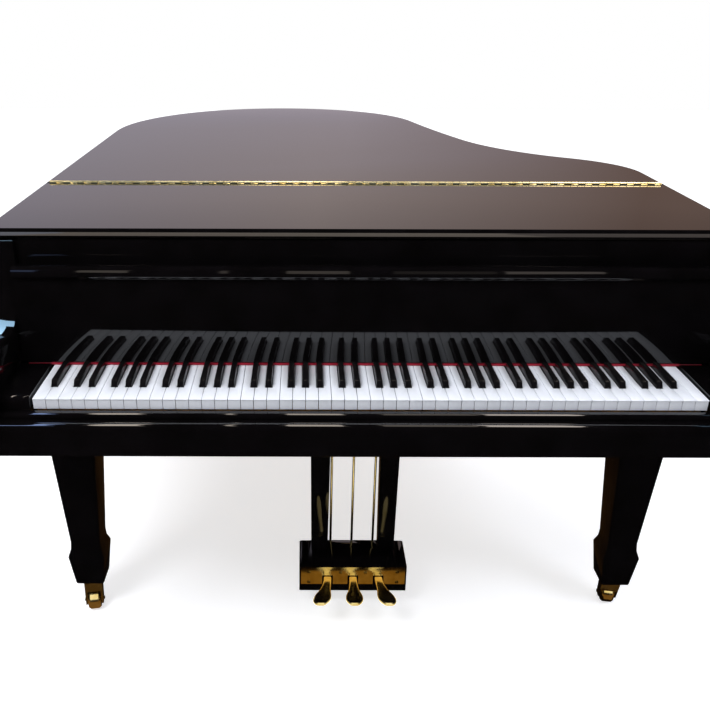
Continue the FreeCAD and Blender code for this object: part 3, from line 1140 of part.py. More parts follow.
# Brass plate on the front of the box, notched for the pedals
plate_low, plate_high = "(dims.lyre_bottom + 21)", f"({BOX_TOP} - 6.5)"
notch_edges = []
for spot in PEDAL_SPOTS:
    notch_edges += [(f"{spot} - {SLOT_HALF}", plate_low), (f"{spot} - {SLOT_HALF}", NOTCH_HIGH),
                    (f"{spot} + {SLOT_HALF}", NOTCH_HIGH), (f"{spot} + {SLOT_HALF}", plate_low)]
pedal_plate = padded("pedal_plate", "XZ_Plane", tuple(
    [(f"4 - {BOX_HALF}", plate_high), (f"4 - {BOX_HALF}", plate_low)] + notch_edges
    + [(f"{BOX_HALF} - 4", plate_low), (f"{BOX_HALF} - 4", plate_high)]), "2", f"-({BOX_FRONT} - 1)")

# Pedals: flat brass levers with a teardrop toe, the outer two swept outwards
TOE_SWEEP = 19
PEDAL_HALF_WIDTHS = ((0.0, 13.0), (0.04, 18.5), (0.09, 20.8), (0.16, 19.0), (0.225, 14.8), (0.29, 12.0),
                     (0.38, 10.2), (0.48, 9.8), (0.6, 10.0), (0.8, 10.5), (1.0, 11.0))


def pedal_face(side):
    """Plan of a pedal from its toe to its heel inside the box."""
    middle = side * number("dims.pedal_spacing")
    toe, heel = number(f"{BOX_FRONT} - dims.pedal_reach"), number(f"{BOX_BACK} - 6")
    box_start = number(BOX_FRONT)

    def spot(share, half):
        y = toe + share * (heel - toe)
        bend = max(0.0, min(1.0, (box_start - 4 - y) / (box_start - 4 - toe)))
        return middle + side * TOE_SWEEP * bend ** 2 * (2 - bend) + half, y

    right = [Vector(*spot(share, half)) for share, half in PEDAL_HALF_WIDTHS]
    left = [Vector(*spot(share, -half)) for share, half in PEDAL_HALF_WIDTHS]
    toe_tip = Vector((left[0].x + right[0].x) / 2, toe - 3.5)
    sides = right[::-1] + [toe_tip] + left
    return Part.Face(Part.Wire([smooth_edge(sides), Part.makeLine(sides[-1], sides[0])]))


pedals, pedal_rods = [], []
pedal_top = number(PEDAL_HIGH)
for side, name, spot, rod_spot in zip((-1, 0, 1), PEDAL_NAMES, PEDAL_SPOTS, ROD_SPOTS):
    pedal_blank = raised(f"{name}_pedal_blank", pedal_face(side), "dims.pedal_thickness", PEDAL_LOW)
    pedal_lever = dressed(f"{name}_pedal_lever", pedal_blank, (
        ("Chamfer", "dims.pedal_thickness * 0.25", lambda edge: level_edge(edge, pedal_top)
         and not along(edge, AXIS_X)),))
    eye = rod(f"{name}_pedal_eye", "3 + dims.running_fit", f"2 * {SLOT_HALF}",
              (f"{spot} - {SLOT_HALF}", PEDAL_PIVOT, "dims.pedal_height"), AXIS_X)
    pedals.append(cut(f"{name}_pedal", pedal_lever, eye))
    rod_low = f"({PEDAL_HIGH} + dims.fit_gap)"
    rod_length = f"{ROD_TOP} - {rod_low}"
    pedal_rods.append(rod(f"{name}_rod", "dims.rod_radius", rod_length, (rod_spot, ROD_LINE, rod_low), AXIS_Z))

# Every sub-part under its own name, checked and written
SUB_PARTS = [rim, back_braces, keybed, key_slip, cheek_blocks, nameboard_felt, fallboard,
             main_lid, front_flap, flap_hinge_lid_leaf, flap_hinge_flap_leaf, flap_hinge_pin,
             lid_hinge_case_leaves, lid_hinge_lid_leaves, pivot_pins, lid_prop, prop_bracket,
             music_tray, music_desk, key_frame, action_rails, hammers, dampers, soundboard, soundboard_ribs,
             bridges, iron_plate, pin_block, tuning_pins, plain_strings, wound_strings, leg_set,
             lyre_posts, lyre_braces, pedal_box, pedal_plate]
SUB_PARTS += keys + casters + pedals + pedal_rods

doc.recompute()
for item in doc.Objects:
    if "Invalid" in item.State or "Error" in item.State:
        raise RuntimeError(f"{item.Name} did not build: {item.State}")
os.makedirs("parts", exist_ok=True)
for item in SUB_PARTS:
    if item.Shape.isNull() or not item.Shape.isValid() or not item.Shape.Solids:
        raise RuntimeError(f"{item.Label} has no valid shape")
    item.Shape.exportStep(f"parts/{item.Label}.step")
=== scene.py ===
import json
import math
import random

import bmesh
import bpy
from mathutils import Matrix, Vector

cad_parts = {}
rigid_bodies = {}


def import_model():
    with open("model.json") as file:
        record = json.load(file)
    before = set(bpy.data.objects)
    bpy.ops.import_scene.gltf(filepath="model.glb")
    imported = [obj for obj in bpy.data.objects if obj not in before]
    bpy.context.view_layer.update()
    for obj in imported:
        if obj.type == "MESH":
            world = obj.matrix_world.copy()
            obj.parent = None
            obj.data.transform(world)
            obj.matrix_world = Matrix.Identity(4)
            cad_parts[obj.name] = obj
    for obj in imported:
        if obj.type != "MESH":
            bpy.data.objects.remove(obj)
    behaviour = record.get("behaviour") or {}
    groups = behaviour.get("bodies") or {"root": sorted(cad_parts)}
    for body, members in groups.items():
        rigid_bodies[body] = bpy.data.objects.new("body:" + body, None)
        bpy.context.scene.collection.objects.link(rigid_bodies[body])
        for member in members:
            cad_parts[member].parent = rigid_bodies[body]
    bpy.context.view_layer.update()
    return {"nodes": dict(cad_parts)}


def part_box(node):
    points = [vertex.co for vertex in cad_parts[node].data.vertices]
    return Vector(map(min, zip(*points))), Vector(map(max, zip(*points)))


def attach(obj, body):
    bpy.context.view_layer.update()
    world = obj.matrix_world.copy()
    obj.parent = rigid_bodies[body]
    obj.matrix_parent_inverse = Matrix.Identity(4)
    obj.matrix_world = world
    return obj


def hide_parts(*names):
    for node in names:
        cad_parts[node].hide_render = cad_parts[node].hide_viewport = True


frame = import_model()
nodes = frame["nodes"]

# Rim: the case wall of the piano with its two arms, layers of hard maple glued and bent in a press.
# It is sanded flat, sprayed with black polyester and buffed to a mirror.


def linear(colour):
    """sRGB hex text as linear RGBA."""
    parts = [int(colour[start:start + 2], 16) / 255 for start in (1, 3, 5)]
    return [p / 12.92 if p <= 0.04045 else ((p + 0.055) / 1.055) ** 2.4 for p in parts] + [1.0]


def add(tree, kind, inputs=None, **settings):
    """Add a node with its settings; an input is a value or another node's output."""
    made = tree.nodes.new(kind)
    for name, value in settings.items():
        setattr(made, name, value)
    for name, value in (inputs or {}).items():
        if isinstance(value, bpy.types.NodeSocket):
            tree.links.new(value, made.inputs[name])
        else:
            made.inputs[name].default_value = value
    return made


def finish_of(name, roughness, metallic=0.0, ior=None):
    """New material with its node tree, its shader and the piece's own coordinates."""
    made = bpy.data.materials.new(name)
    made.use_nodes = True
    tree = made.node_tree
    shader = tree.nodes["Principled BSDF"]
    shader.inputs["Roughness"].default_value = roughness
    shader.inputs["Metallic"].default_value = metallic
    if ior:
        shader.inputs["IOR"].default_value = ior
    place = add(tree, "ShaderNodeTexCoord").outputs["Object"]
    return made, tree, shader, place


def grain_scale(millimetres):
    """Texture scale for a pattern that repeats every so many millimetres."""
    return 1000 / millimetres


def colour_along(tree, factor, stops):
    """Colour that runs through (position, hex text) stops along a factor."""
    (start, first), *others = stops
    colour = linear(first)
    for end, text in others:
        share = add(tree, "ShaderNodeMapRange", {"Value": factor, "From Min": start, "From Max": end})
        colour = add(tree, "ShaderNodeMix", {0: share.outputs["Result"], 6: colour, 7: linear(text)},
                     data_type="RGBA").outputs[2]
        start = end
    return colour


def vary(tree, shader, factor, stops, roughness=None):
    """Let a shader's colour run through stops along a factor, and its roughness from low to high."""
    tree.links.new(colour_along(tree, factor, stops), shader.inputs["Base Color"])
    if roughness:
        low, high = roughness
        span = add(tree, "ShaderNodeMapRange", {"Value": factor, "To Min": low, "To Max": high})
        tree.links.new(span.outputs["Result"], shader.inputs["Roughness"])


# Polyester lacquer, sprayed and buffed: a near-black mirror with faint buffing haze
HAZE_MM = 60
ebony, tree, shader, place = finish_of("ebony_polyester_lacquer_buffed", 0.04, ior=1.55)
haze = add(tree, "ShaderNodeTexNoise", {"Vector": place, "Scale": grain_scale(HAZE_MM), "Detail": 6.0})
vary(tree, shader, haze.outputs["Fac"], ((0.3, "#060505"), (0.7, "#0b090a")), (0.025, 0.065))


def paint(finish, *names):
    """Give frame parts one finish."""
    for name in names:
        slots = nodes[name].data.materials
        slots.clear()
        slots.append(finish)


def smoothing_tree(angle):
    """Tree that shades a mesh smooth, apart from edges sharper than the angle."""
    made = bpy.data.node_groups.new("smooth_below_angle", "GeometryNodeTree")
    made.interface.new_socket("Geometry", in_out="INPUT", socket_type="NodeSocketGeometry")
    made.interface.new_socket("Geometry", in_out="OUTPUT", socket_type="NodeSocketGeometry")
    mesh = add(made, "NodeGroupInput").outputs["Geometry"]
    edge = add(made, "GeometryNodeInputMeshEdgeAngle").outputs["Unsigned Angle"]
    sharp = add(made, "FunctionNodeCompare", {0: edge, 1: angle}, data_type="FLOAT", operation="GREATER_THAN")
    round_faces = add(made, "GeometryNodeSetShadeSmooth", {
        "Geometry": mesh, "Shade Smooth": True}, domain="FACE")
    crisp = add(made, "GeometryNodeSetShadeSmooth", {
        "Geometry": round_faces.outputs["Geometry"], "Selection": sharp.outputs["Result"],
        "Shade Smooth": False}, domain="EDGE")
    add(made, "NodeGroupOutput", {"Geometry": crisp.outputs["Geometry"]})
    return made


SMOOTH_BELOW, EASE_ABOVE, FLAT_WITHIN = (math.radians(degrees) for degrees in (32, 40, 0.4))
WELD_REACH = 2e-6
smooth_below = smoothing_tree(SMOOTH_BELOW)


def soften(*names, ease_mm=0.0):
    """Weld a frame part's triangles, ease its sharp edges and shade its curves smooth."""
    for name in names:
        part = nodes[name]
        weld = part.modifiers.new("weld", "WELD")
        weld.merge_threshold = WELD_REACH
        if ease_mm:
            flat = part.modifiers.new("flat_faces", "DECIMATE")
            flat.decimate_type, flat.angle_limit = "DISSOLVE", FLAT_WITHIN
            ease = part.modifiers.new("eased_edges", "BEVEL")
            ease.width, ease.segments = ease_mm / 1000, 2
            ease.limit_method, ease.angle_limit = "ANGLE", EASE_ABOVE
            ease.use_clamp_overlap = True
        shade = part.modifiers.new("smooth_shading", "NODES")
        shade.node_group = smooth_below


paint(ebony, "rim")
soften("rim", ease_mm=0.8)

# Back frame: a belly rail and beams of spruce under the soundboard, glued into the rim.
# They are planed, left pale and given one coat of clear varnish.

# Spruce, planed and varnished: pale straw with darker year rings and a soft shine
RING_SPACING_MM = 56.55  # wider than real year rings, so that they show
RING_TURN = math.radians(45)
WAVE_BAND = math.tau / 20  # width of a wave texture's band at a scale of 1
spruce, tree, shader, place = finish_of("spruce_varnished", 0.38)
turned = add(tree, "ShaderNodeMapping", {"Vector": place, "Rotation": (0, 0, RING_TURN)})
rings = add(tree, "ShaderNodeTexWave", {
    "Vector": turned.outputs["Vector"], "Scale": WAVE_BAND * grain_scale(RING_SPACING_MM), "Distortion": 1.6,
    "Detail": 3.0, "Detail Scale": 1.4}, bands_direction="X")
vary(tree, shader, rings.outputs["Fac"], ((0.0, "#e2bd84"), (0.7, "#d3a766"), (1.0, "#b98646")), (0.32, 0.46))
paint(spruce, "back_braces")
soften("back_braces", ease_mm=1.5)

# Soundboard: a crowned panel of quartered spruce, with ribs glued across the grain below.
# It rests on the ledge of the rim and carries the strings' bridges. These are laminated maple, as is
# the pin block in front of it.
paint(spruce, "soundboard", "soundboard_ribs")
soften("soundboard", "soundboard_ribs", ease_mm=0.8)
# Maple, planed and oiled: light brown with a cloudy figure and a low sheen
FIGURE_MM = 14
maple, tree, shader, place = finish_of("maple_oiled", 0.42)
figure = add(tree, "ShaderNodeTexNoise", {
    "Vector": place, "Scale": grain_scale(FIGURE_MM), "Detail": 5.0, "Distortion": 1.2})
vary(tree, shader, figure.outputs["Fac"], ((0.3, "#c89a62"), (0.7, "#dcb27c")), (0.36, 0.5))
paint(maple, "bridges", "pin_block")
soften("bridges", "pin_block", ease_mm=0.6)

# Iron plate: one sand casting that takes the pull of the strings, bolted to the rim.
# It is filed, sprayed with gold bronze and clear lacquer.

# Gold bronze under lacquer: a warm satin gold with the fine grain of the sand mould
SAND_MM, SAND_DEPTH_MM = 1.6, 0.15
bronze, tree, shader, place = finish_of("cast_iron_gold_bronze_lacquer", 0.38, metallic=0.85)
sand = add(tree, "ShaderNodeTexNoise", {"Vector": place, "Scale": grain_scale(SAND_MM), "Detail": 3.0})
vary(tree, shader, sand.outputs["Fac"], ((0.35, "#b98a35"), (0.65, "#d4a850")))
grit = add(tree, "ShaderNodeBump", {
    "Height": sand.outputs["Fac"], "Strength": 0.4, "Distance": SAND_DEPTH_MM / 1000})
tree.links.new(grit.outputs["Normal"], shader.inputs["Normal"])
paint(bronze, "iron_plate")
soften("iron_plate", ease_mm=1.2)

# Strings and tuning pins: drawn steel music wire, the bass ones wound with copper.
# The pins are steel rods with square heads, driven into the pin block.

# Steel, drawn: bright grey metal with soft streaks
STREAK_MM = 25
steel, tree, shader, place = finish_of("music_wire_drawn_steel", 0.22, metallic=1.0)
streak = add(tree, "ShaderNodeTexNoise", {"Vector": place, "Scale": grain_scale(STREAK_MM), "Detail": 2.0})
vary(tree, shader, streak.outputs["Fac"], ((0.3, "#b9bbc0"), (0.7, "#d8d9dc")))
# Copper, wound on: red-brown metal, with painted shade in the grooves between its turns
WINDING_MM = 20.1  # far coarser than the real wire, so that it shows
copper, tree, shader, place = finish_of("copper_winding", 0.3, metallic=1.0)
turns_and_shade = add(tree, "ShaderNodeTexWave", {
    "Vector": place, "Scale": WAVE_BAND * grain_scale(WINDING_MM)}, bands_direction="Y")
vary(tree, shader, turns_and_shade.outputs["Fac"], ((0.2, "#8a4a2a"), (0.8, "#d68a5c")))
paint(steel, "plain_strings", "tuning_pins")
paint(copper, "wound_strings")
soften("plain_strings", "tuning_pins", "wound_strings")

# Keybed, key slip and cheek blocks: the shelf under the keys and the boards that close it in.
# They are lacquered with the rim and screwed up from below.
paint(ebony, "keybed", "key_slip", "cheek_blocks")
soften("keybed", "key_slip", "cheek_blocks", ease_mm=0.8)

# Felt strip: red wool felt glued along the foot of the fallboard, over the key tails.
# It is cut from a sheet, so its edges are soft, and it is pressed lower over the cheek blocks.


def mesh_of(name, points, faces, finish, crease=35):
    """Mesh with faces turned outwards, smooth apart from edges sharper than the crease in degrees."""
    made = bpy.data.meshes.new(name)
    made.from_pydata([Vector(point) for point in points], [], faces)
    shell = bmesh.new()
    shell.from_mesh(made)
    bmesh.ops.recalc_face_normals(shell, faces=shell.faces)
    shell.to_mesh(made)
    shell.free()
    made.shade_smooth()
    made.set_sharp_from_angle(angle=math.radians(crease))
    made.materials.append(finish)
    return made


def piece(name, shape, finish, body):
    """New piece from (points, faces) that rides on a body."""
    made = bpy.data.objects.new(name, mesh_of(name, *shape, finish))
    bpy.context.scene.collection.objects.link(made)
    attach(made, body)
    return made


def loft(rings):
    """Points and faces of a closed skin over rings of equal length."""
    size = len(rings[0])
    points = [point for ring in rings for point in ring]
    faces = [(first + k, first + (k + 1) % size, first + size + (k + 1) % size, first + size + k)
             for first in range(0, len(points) - size, size) for k in range(size)]
    return points, faces + [tuple(range(size))[::-1], tuple(range(len(points) - size, len(points)))]


def rounded(half_width, half_height, count, power):
    """Outline between an ellipse (power 2) and a rectangle, about the origin."""
    spots = []
    for k in range(count):
        angle = math.tau * (k + 0.5) / count
        spots.append(tuple(half * math.copysign(abs(part) ** (2 / power), part) for half, part in (
            (half_width, math.cos(angle)), (half_height, math.sin(angle)))))
    return spots


FIBRE_MM, NAP_MM = 0.9, 0.4  # coarser than the real fibre, so that it shows


def wool_felt(name, dark, light, nap, bloom=0.0):
    """Matt felt of two near colours, with the strengths of its loose fibre and of its bloom."""
    made, tree, shader, place = finish_of(name, 0.95)
    shader.inputs["Sheen Weight"].default_value = bloom
    fibre = add(tree, "ShaderNodeTexNoise", {
        "Vector": place, "Scale": grain_scale(FIBRE_MM), "Detail": 4.0}).outputs["Fac"]
    vary(tree, shader, fibre, ((0.3, dark), (0.7, light)))
    fuzz = add(tree, "ShaderNodeBump", {"Height": fibre, "Strength": nap, "Distance": NAP_MM / 1000})
    tree.links.new(fuzz.outputs["Normal"], shader.inputs["Normal"])
    return made


# Wool felt, dyed red: matt, with a soft bloom of loose fibre
red_felt = wool_felt("red_wool_felt", "#7c0a1c", "#bd1735", 0.6, bloom=0.3)
felt_low, felt_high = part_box("nameboard_felt")
KEYBOARD_HALF, FELT_STEP, FELT_SLOPE, FELT_SHORT = 0.62, 0.02, 0.006, 0.0147
FELT_PRESSED, FELT_UNEVEN = 0.3, 0.93  # shares of the strip's free height
felt_end = felt_high.x - FELT_SHORT
draw_felt = random.Random(7)
felt_stations = [(-felt_end, FELT_PRESSED), (-KEYBOARD_HALF - FELT_SLOPE, FELT_PRESSED), (-KEYBOARD_HALF, 1.0)]
for k in range(1, round(2 * KEYBOARD_HALF / FELT_STEP)):
    felt_stations.append((-KEYBOARD_HALF + k * FELT_STEP, draw_felt.uniform(FELT_UNEVEN, 1.0)))
felt_stations += [(KEYBOARD_HALF, 1.0), (KEYBOARD_HALF + FELT_SLOPE, FELT_PRESSED), (felt_end, FELT_PRESSED)]
felt_half_y, felt_half_z = (felt_high.y - felt_low.y) / 2, (felt_high.z - felt_low.z) / 2
felt_rings = []
for x, share in felt_stations:
    lie = 0.5 + share / 2
    felt_rings.append([(x, felt_high.y - felt_half_y * lie + y, felt_low.z + felt_half_z * lie + z)
                       for y, z in rounded(felt_half_y * lie, felt_half_z * lie, 12, 4)])
felt_strip = piece("felt_strip", loft(felt_rings), red_felt, "case")
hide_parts("nameboard_felt")

# Action: rails of drawn aluminium that carry 88 hammers, each a maple shank and moulding under wool felt.
# The felt is pressed round the moulding, glued and trimmed to a pear shape.

# Aluminium, drawn: grey metal with fine lines along its length
LINE_LENGTH_MM, LINE_SHARE = 40, 40
satin, tree, shader, place = finish_of("aluminium_drawn_satin", 0.35, metallic=1.0)
drawn = add(tree, "ShaderNodeMapping", {"Vector": place, "Scale": (1, LINE_SHARE, LINE_SHARE)})
lines = add(tree, "ShaderNodeTexNoise", {
    "Vector": drawn.outputs["Vector"], "Scale": grain_scale(LINE_LENGTH_MM), "Detail": 3.0})
vary(tree, shader, lines.outputs["Fac"], ((0.3, "#b4b5b8"), (0.7, "#cfd0d2")))
paint(satin, "action_rails")
soften("action_rails", ease_mm=0.5)
# Wool felt, undyed and pressed hard: a matt cream white
white_felt = wool_felt("white_wool_felt", "#d8d2c2", "#ece8dc", 0.5)


def separate_solids(name):
    """Corner points of every solid in a frame part, from left to right."""
    mesh = nodes[name].data
    spots = {}
    index = [spots.setdefault(tuple(round(c, 5) for c in corner.co), len(spots)) for corner in mesh.vertices]
    owner = list(range(len(spots)))

    def root(spot):
        while owner[spot] != spot:
            spot = owner[spot]
        return spot

    for face in mesh.polygons:
        for corner in face.vertices[1:]:
            owner[root(index[corner])] = root(index[face.vertices[0]])
    solids = {}
    for place, spot in spots.items():
        solids.setdefault(root(spot), []).append(Vector(place))
    return sorted(solids.values(), key=lambda solid: min(point.x for point in solid))


def gather(shapes):
    """One (points, faces) from several."""
    points, faces = [], []
    for some_points, some_faces in shapes:
        faces += [tuple(corner + len(points) for corner in face) for face in some_faces]
        points += some_points
    return points, faces


SHANK_HALF, SHANK_RISE, SHANK_SHORT, MOULDING_HALF = 0.0024, 0.007, 0.004, 0.004
HEAD_HALF, HEAD_REACH, CROWN_HEIGHT = 0.0045, 0.014, 0.02
shank = rounded(SHANK_HALF, SHANK_HALF, 8, 2)
moulding = ((-0.005, 0.0), (0.005, 0.0), (0.008, 0.022), (0.003, 0.04), (-0.003, 0.04), (-0.008, 0.022))
pear = [(HEAD_REACH * math.cos(a), (CROWN_HEIGHT if math.sin(a) > 0 else HEAD_REACH) * math.sin(a))
        for a in (math.tau * k / 16 for k in range(16))]
head_slices = ((-HEAD_HALF, 0.93), (-HEAD_HALF * 0.8, 1.0), (HEAD_HALF * 0.8, 1.0), (HEAD_HALF, 0.93))
wood_shapes, felt_shapes = [], []
for solid in separate_solids("hammers"):
    xs, ys, zs = zip(*solid)
    middle, foot, tip = (min(xs) + max(xs)) / 2, min(zs), max(zs)
    start, strike = min(ys), max(ys) - HEAD_REACH
    wood_shapes.append(loft([[(middle + x, y, foot + SHANK_RISE + z) for x, z in shank]
                             for y in (start, strike - SHANK_SHORT)]))
    wood_shapes.append(loft([[(middle + side * MOULDING_HALF, strike + y, foot + z) for y, z in moulding]
                             for side in (-1, 1)]))
    felt_shapes.append(loft([[(middle + x, strike + y * share, tip - CROWN_HEIGHT + z * share) for y, z in pear]
                             for x, share in head_slices]))
hammer_wood = piece("hammer_shanks", gather(wood_shapes), maple, "action")
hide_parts("hammers")
piece("hammer_felts", gather(felt_shapes), white_felt, "action")

# Dampers: lacquered maple heads with a wedge of felt below, one for each of the 67 lower notes.
# A wire under each head, hidden by the strings, lifts it from its note.
SEAM_RISE, SEAM_DROP, WEDGE_KNEE, HEAD_EASE, HEAD_ROUND = 0.012, 0.003, 0.006, 0.001, 0.0008


def damper_part(centre, across, along, rings):
    """Skin over (half width, half length, level) rings of one damper."""
    return loft([[(centre.x + across.x * x + along.x * y, centre.y + across.y * x + along.y * y, level)
                  for x, y in rounded(half_width, half_length, 12, 6)]
                 for half_width, half_length, level in rings])


head_shapes, wedge_shapes = [], []
for solid in separate_solids("dampers"):
    foot, top = min(p.z for p in solid), max(p.z for p in solid)
    centre = sum(solid, Vector()) / len(solid)
    corners = sorted((p for p in solid if top - p.z < 1e-5), key=lambda p: p.y)
    along = ((corners[2] + corners[3]) / 2 - (corners[0] + corners[1]) / 2).normalized()
    across = Vector((along.y, -along.x, 0))
    half = max(abs((p - centre).dot(across)) for p in corners)
    run = max(abs((p - centre).dot(along)) for p in corners)
    seam = min(foot + SEAM_RISE, top - SEAM_DROP)
    wedge_shapes.append(damper_part(centre, across, along, (
        (half * 0.6, run, foot), (half * 0.85, run, foot + WEDGE_KNEE), (half, run, seam))))
    head_shapes.append(damper_part(centre, across, along, (
        (half, run, seam), (half, run, top - HEAD_EASE), (half - HEAD_ROUND, run - HEAD_ROUND, top))))
damper_heads = piece("damper_heads", gather(head_shapes), ebony, "dampers")
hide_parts("dampers")
piece("damper_felts", gather(wedge_shapes), white_felt, "dampers")

# Keys: levers of spruce on a spruce key frame, 52 with white acrylic covers and 36 with black satin caps.
# The covers are moulded, glued down, trimmed and polished; the caps keep a soft sheen.
paint(spruce, "key_frame")
soften("key_frame", ease_mm=0.8)
# Acrylic, moulded and polished: a clean cool white with a soft shine
CLOUD_MM = 40
acrylic, tree, shader, place = finish_of("white_acrylic_polished", 0.22, ior=1.49)
cloud = add(tree, "ShaderNodeTexNoise", {"Vector": place, "Scale": grain_scale(CLOUD_MM), "Detail": 3.0})
vary(tree, shader, cloud.outputs["Fac"], ((0.3, "#ebeced"), (0.7, "#f1f2f4")), (0.16, 0.26))
# Phenolic resin, moulded and rubbed: a satin black with faint streaks along the key
RUB_MM, RUB_SHARE = 12, 6
cap, tree, shader, place = finish_of("black_phenolic_satin", 0.25, ior=1.4)
rubbed = add(tree, "ShaderNodeMapping", {"Vector": place, "Scale": (RUB_SHARE, 1, 1)})
rub = add(tree, "ShaderNodeTexNoise", {
    "Vector": rubbed.outputs["Vector"], "Scale": grain_scale(RUB_MM), "Detail": 4.0})
vary(tree, shader, rub.outputs["Fac"], ((0.3, "#0b0a0a"), (0.7, "#151314")), (0.18, 0.3))
for name in nodes:
    if name.startswith("keys_"):
        sharp = name.endswith("_sharp")
        paint(cap if sharp else acrylic, name)
        soften(name, ease_mm=0.9 if sharp else 0.8)

# Fallboard: the lacquered maple board that folds down over the keys, with a rounded lip at its top.
# It turns on steel pins let into the arms. The frame keeps these in one part with the pins of the
# lid's butt hinges and of the pedals.
paint(ebony, "fallboard")
soften("fallboard", ease_mm=0.8)
paint(steel, "pivot_pins")
soften("pivot_pins")

# Nameboard: a lacquered maple board behind the fallboard that hides the key tails and the action.
# It is let in between the arms, and it shows only when the fallboard is down.
BOARD_HALF, BOARD_EASE = 0.682, 0.001
BOARD_FRONT, BOARD_BACK, BOARD_LOW, BOARD_HIGH = -0.809, -0.799, 0.753, 0.925
board_outline = ((BOARD_FRONT + BOARD_EASE, BOARD_LOW), (BOARD_BACK - BOARD_EASE, BOARD_LOW),
                 (BOARD_BACK, BOARD_LOW + BOARD_EASE), (BOARD_BACK, BOARD_HIGH - BOARD_EASE),
                 (BOARD_BACK - BOARD_EASE, BOARD_HIGH), (BOARD_FRONT + BOARD_EASE, BOARD_HIGH),
                 (BOARD_FRONT, BOARD_HIGH - BOARD_EASE), (BOARD_FRONT, BOARD_LOW + BOARD_EASE))
board_rings = [[(x, y, z) for y, z in board_outline] for x in (-BOARD_HALF, BOARD_HALF)]
piece("nameboard", loft(board_rings), ebony, "case")

# Lid: a main board and a front flap of veneered plywood, lacquered on every side, with rounded edges.
# A continuous brass hinge with rolled knuckles on a steel pin joins the two, screwed to their edges.
paint(ebony, "main_lid", "front_flap")
soften("main_lid", "front_flap")
paint(steel, "flap_hinge_pin")
soften("flap_hinge_pin")
# Brass, cast or rolled, then polished: pale gold with a faint tarnish
TARNISH_MM = 22
brass, tree, shader, place = finish_of("brass_polished", 0.16, metallic=1.0)
tarnish = add(tree, "ShaderNodeTexNoise", {"Vector": place, "Scale": grain_scale(TARNISH_MM), "Detail": 5.0})
vary(tree, shader, tarnish.outputs["Fac"], ((0.3, "#c9b578"), (0.7, "#e6d9ac")), (0.12, 0.28))


def rows_tree():
    """Tree that repeats a shape along a step, and that row along a second step."""
    made = bpy.data.node_groups.new("rows_of_one_shape", "GeometryNodeTree")
    for name, kind in (("Geometry", "Geometry"), ("Start", "Vector"), ("Step", "Vector"), ("Count", "Int"),
                       ("Row Step", "Vector"), ("Rows", "Int"), ("Finish", "Material")):
        made.interface.new_socket(name, in_out="INPUT", socket_type=f"NodeSocket{kind}")
    made.interface.new_socket("Geometry", in_out="OUTPUT", socket_type="NodeSocketGeometry")
    given = add(made, "NodeGroupInput").outputs
    row = add(made, "GeometryNodeMeshLine", {
        "Count": given["Count"], "Start Location": given["Start"], "Offset": given["Step"]}, mode="OFFSET")
    rows = add(made, "GeometryNodeMeshLine", {
        "Count": given["Rows"], "Offset": given["Row Step"]}, mode="OFFSET")
    grid = add(made, "GeometryNodeInstanceOnPoints", {
        "Points": rows.outputs["Mesh"], "Instance": row.outputs["Mesh"]})
    spots = add(made, "GeometryNodeRealizeInstances", {"Geometry": grid.outputs["Instances"]})
    copies = add(made, "GeometryNodeInstanceOnPoints", {
        "Points": spots.outputs["Geometry"], "Instance": given["Geometry"]})
    whole = add(made, "GeometryNodeRealizeInstances", {"Geometry": copies.outputs["Instances"]})
    painted = add(made, "GeometryNodeSetMaterial", {
        "Geometry": whole.outputs["Geometry"], "Material": given["Finish"]})
    add(made, "NodeGroupOutput", {"Geometry": painted.outputs["Geometry"]})
    return made


rows_of_one = rows_tree()


def repeated(name, shape, finish, body, start, step, count, row_step=(0, 0, 0), rows=1):
    """New piece of equal shapes in rows that rides on a body."""
    made = bpy.data.objects.new(name, mesh_of(name, *shape, finish))
    bpy.context.scene.collection.objects.link(made)
    maker = made.modifiers.new("rows", "NODES")
    maker.node_group = rows_of_one
    given = {"Start": start, "Step": step, "Count": count, "Row Step": row_step, "Rows": rows, "Finish": finish}
    for socket in rows_of_one.interface.items_tree:
        if socket.in_out == "INPUT" and socket.name in given:
            maker[socket.identifier] = given[socket.name]
    whole = bpy.data.meshes.new_from_object(made.evaluated_get(bpy.context.evaluated_depsgraph_get()))
    made.modifiers.remove(maker)
    made.data = whole
    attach(made, body)
    return made


HINGE_HALF, HINGE_PERIODS = 0.728, 44
PIN_LINE, PIN_LEVEL, KNUCKLE_RADIUS, KNUCKLE_GAP = -0.374, 0.999, 0.0045, 0.0004
KNUCKLE_SIDES, KNUCKLE_EASE, KNUCKLE_END = 14, 0.0005, 0.9
LEAF_GAP, LEAF_THICKNESS, LEAF_LOW, LEAF_HIGH, LEAF_EASE = 0.0003, 0.0016, 0.981, 0.9966, 0.0003
PERIOD = 2 * HINGE_HALF / HINGE_PERIODS


def knuckle(section):
    """Rolled eye of a hinge leaf along X, with eased ends."""
    half = (PERIOD / 2 - KNUCKLE_GAP) / 2
    return loft([[(x, y * share, z * share) for y, z in section] for x, share in (
        (-half, KNUCKLE_END), (KNUCKLE_EASE - half, 1.0), (half - KNUCKLE_EASE, 1.0), (half, KNUCKLE_END))])


eye_section = [(KNUCKLE_RADIUS * math.cos(a), KNUCKLE_RADIUS * math.sin(a))
               for a in (math.tau * k / KNUCKLE_SIDES for k in range(KNUCKLE_SIDES))]
# The flap's eyes run out into a lip on the flap, the lid's are plain rolls
LIP_REACH, LIP_DROP, LIP_START, LIP_TOP = 0.0068, 0.0008, -0.0036, -0.0001
lip_section = [(y, z) for y, z in eye_section if y > LIP_START or z > LIP_TOP]
lip_section.insert(next(k for k, (y, z) in enumerate(lip_section) if y < 0 and z < 0), (-LIP_REACH, -LIP_DROP))


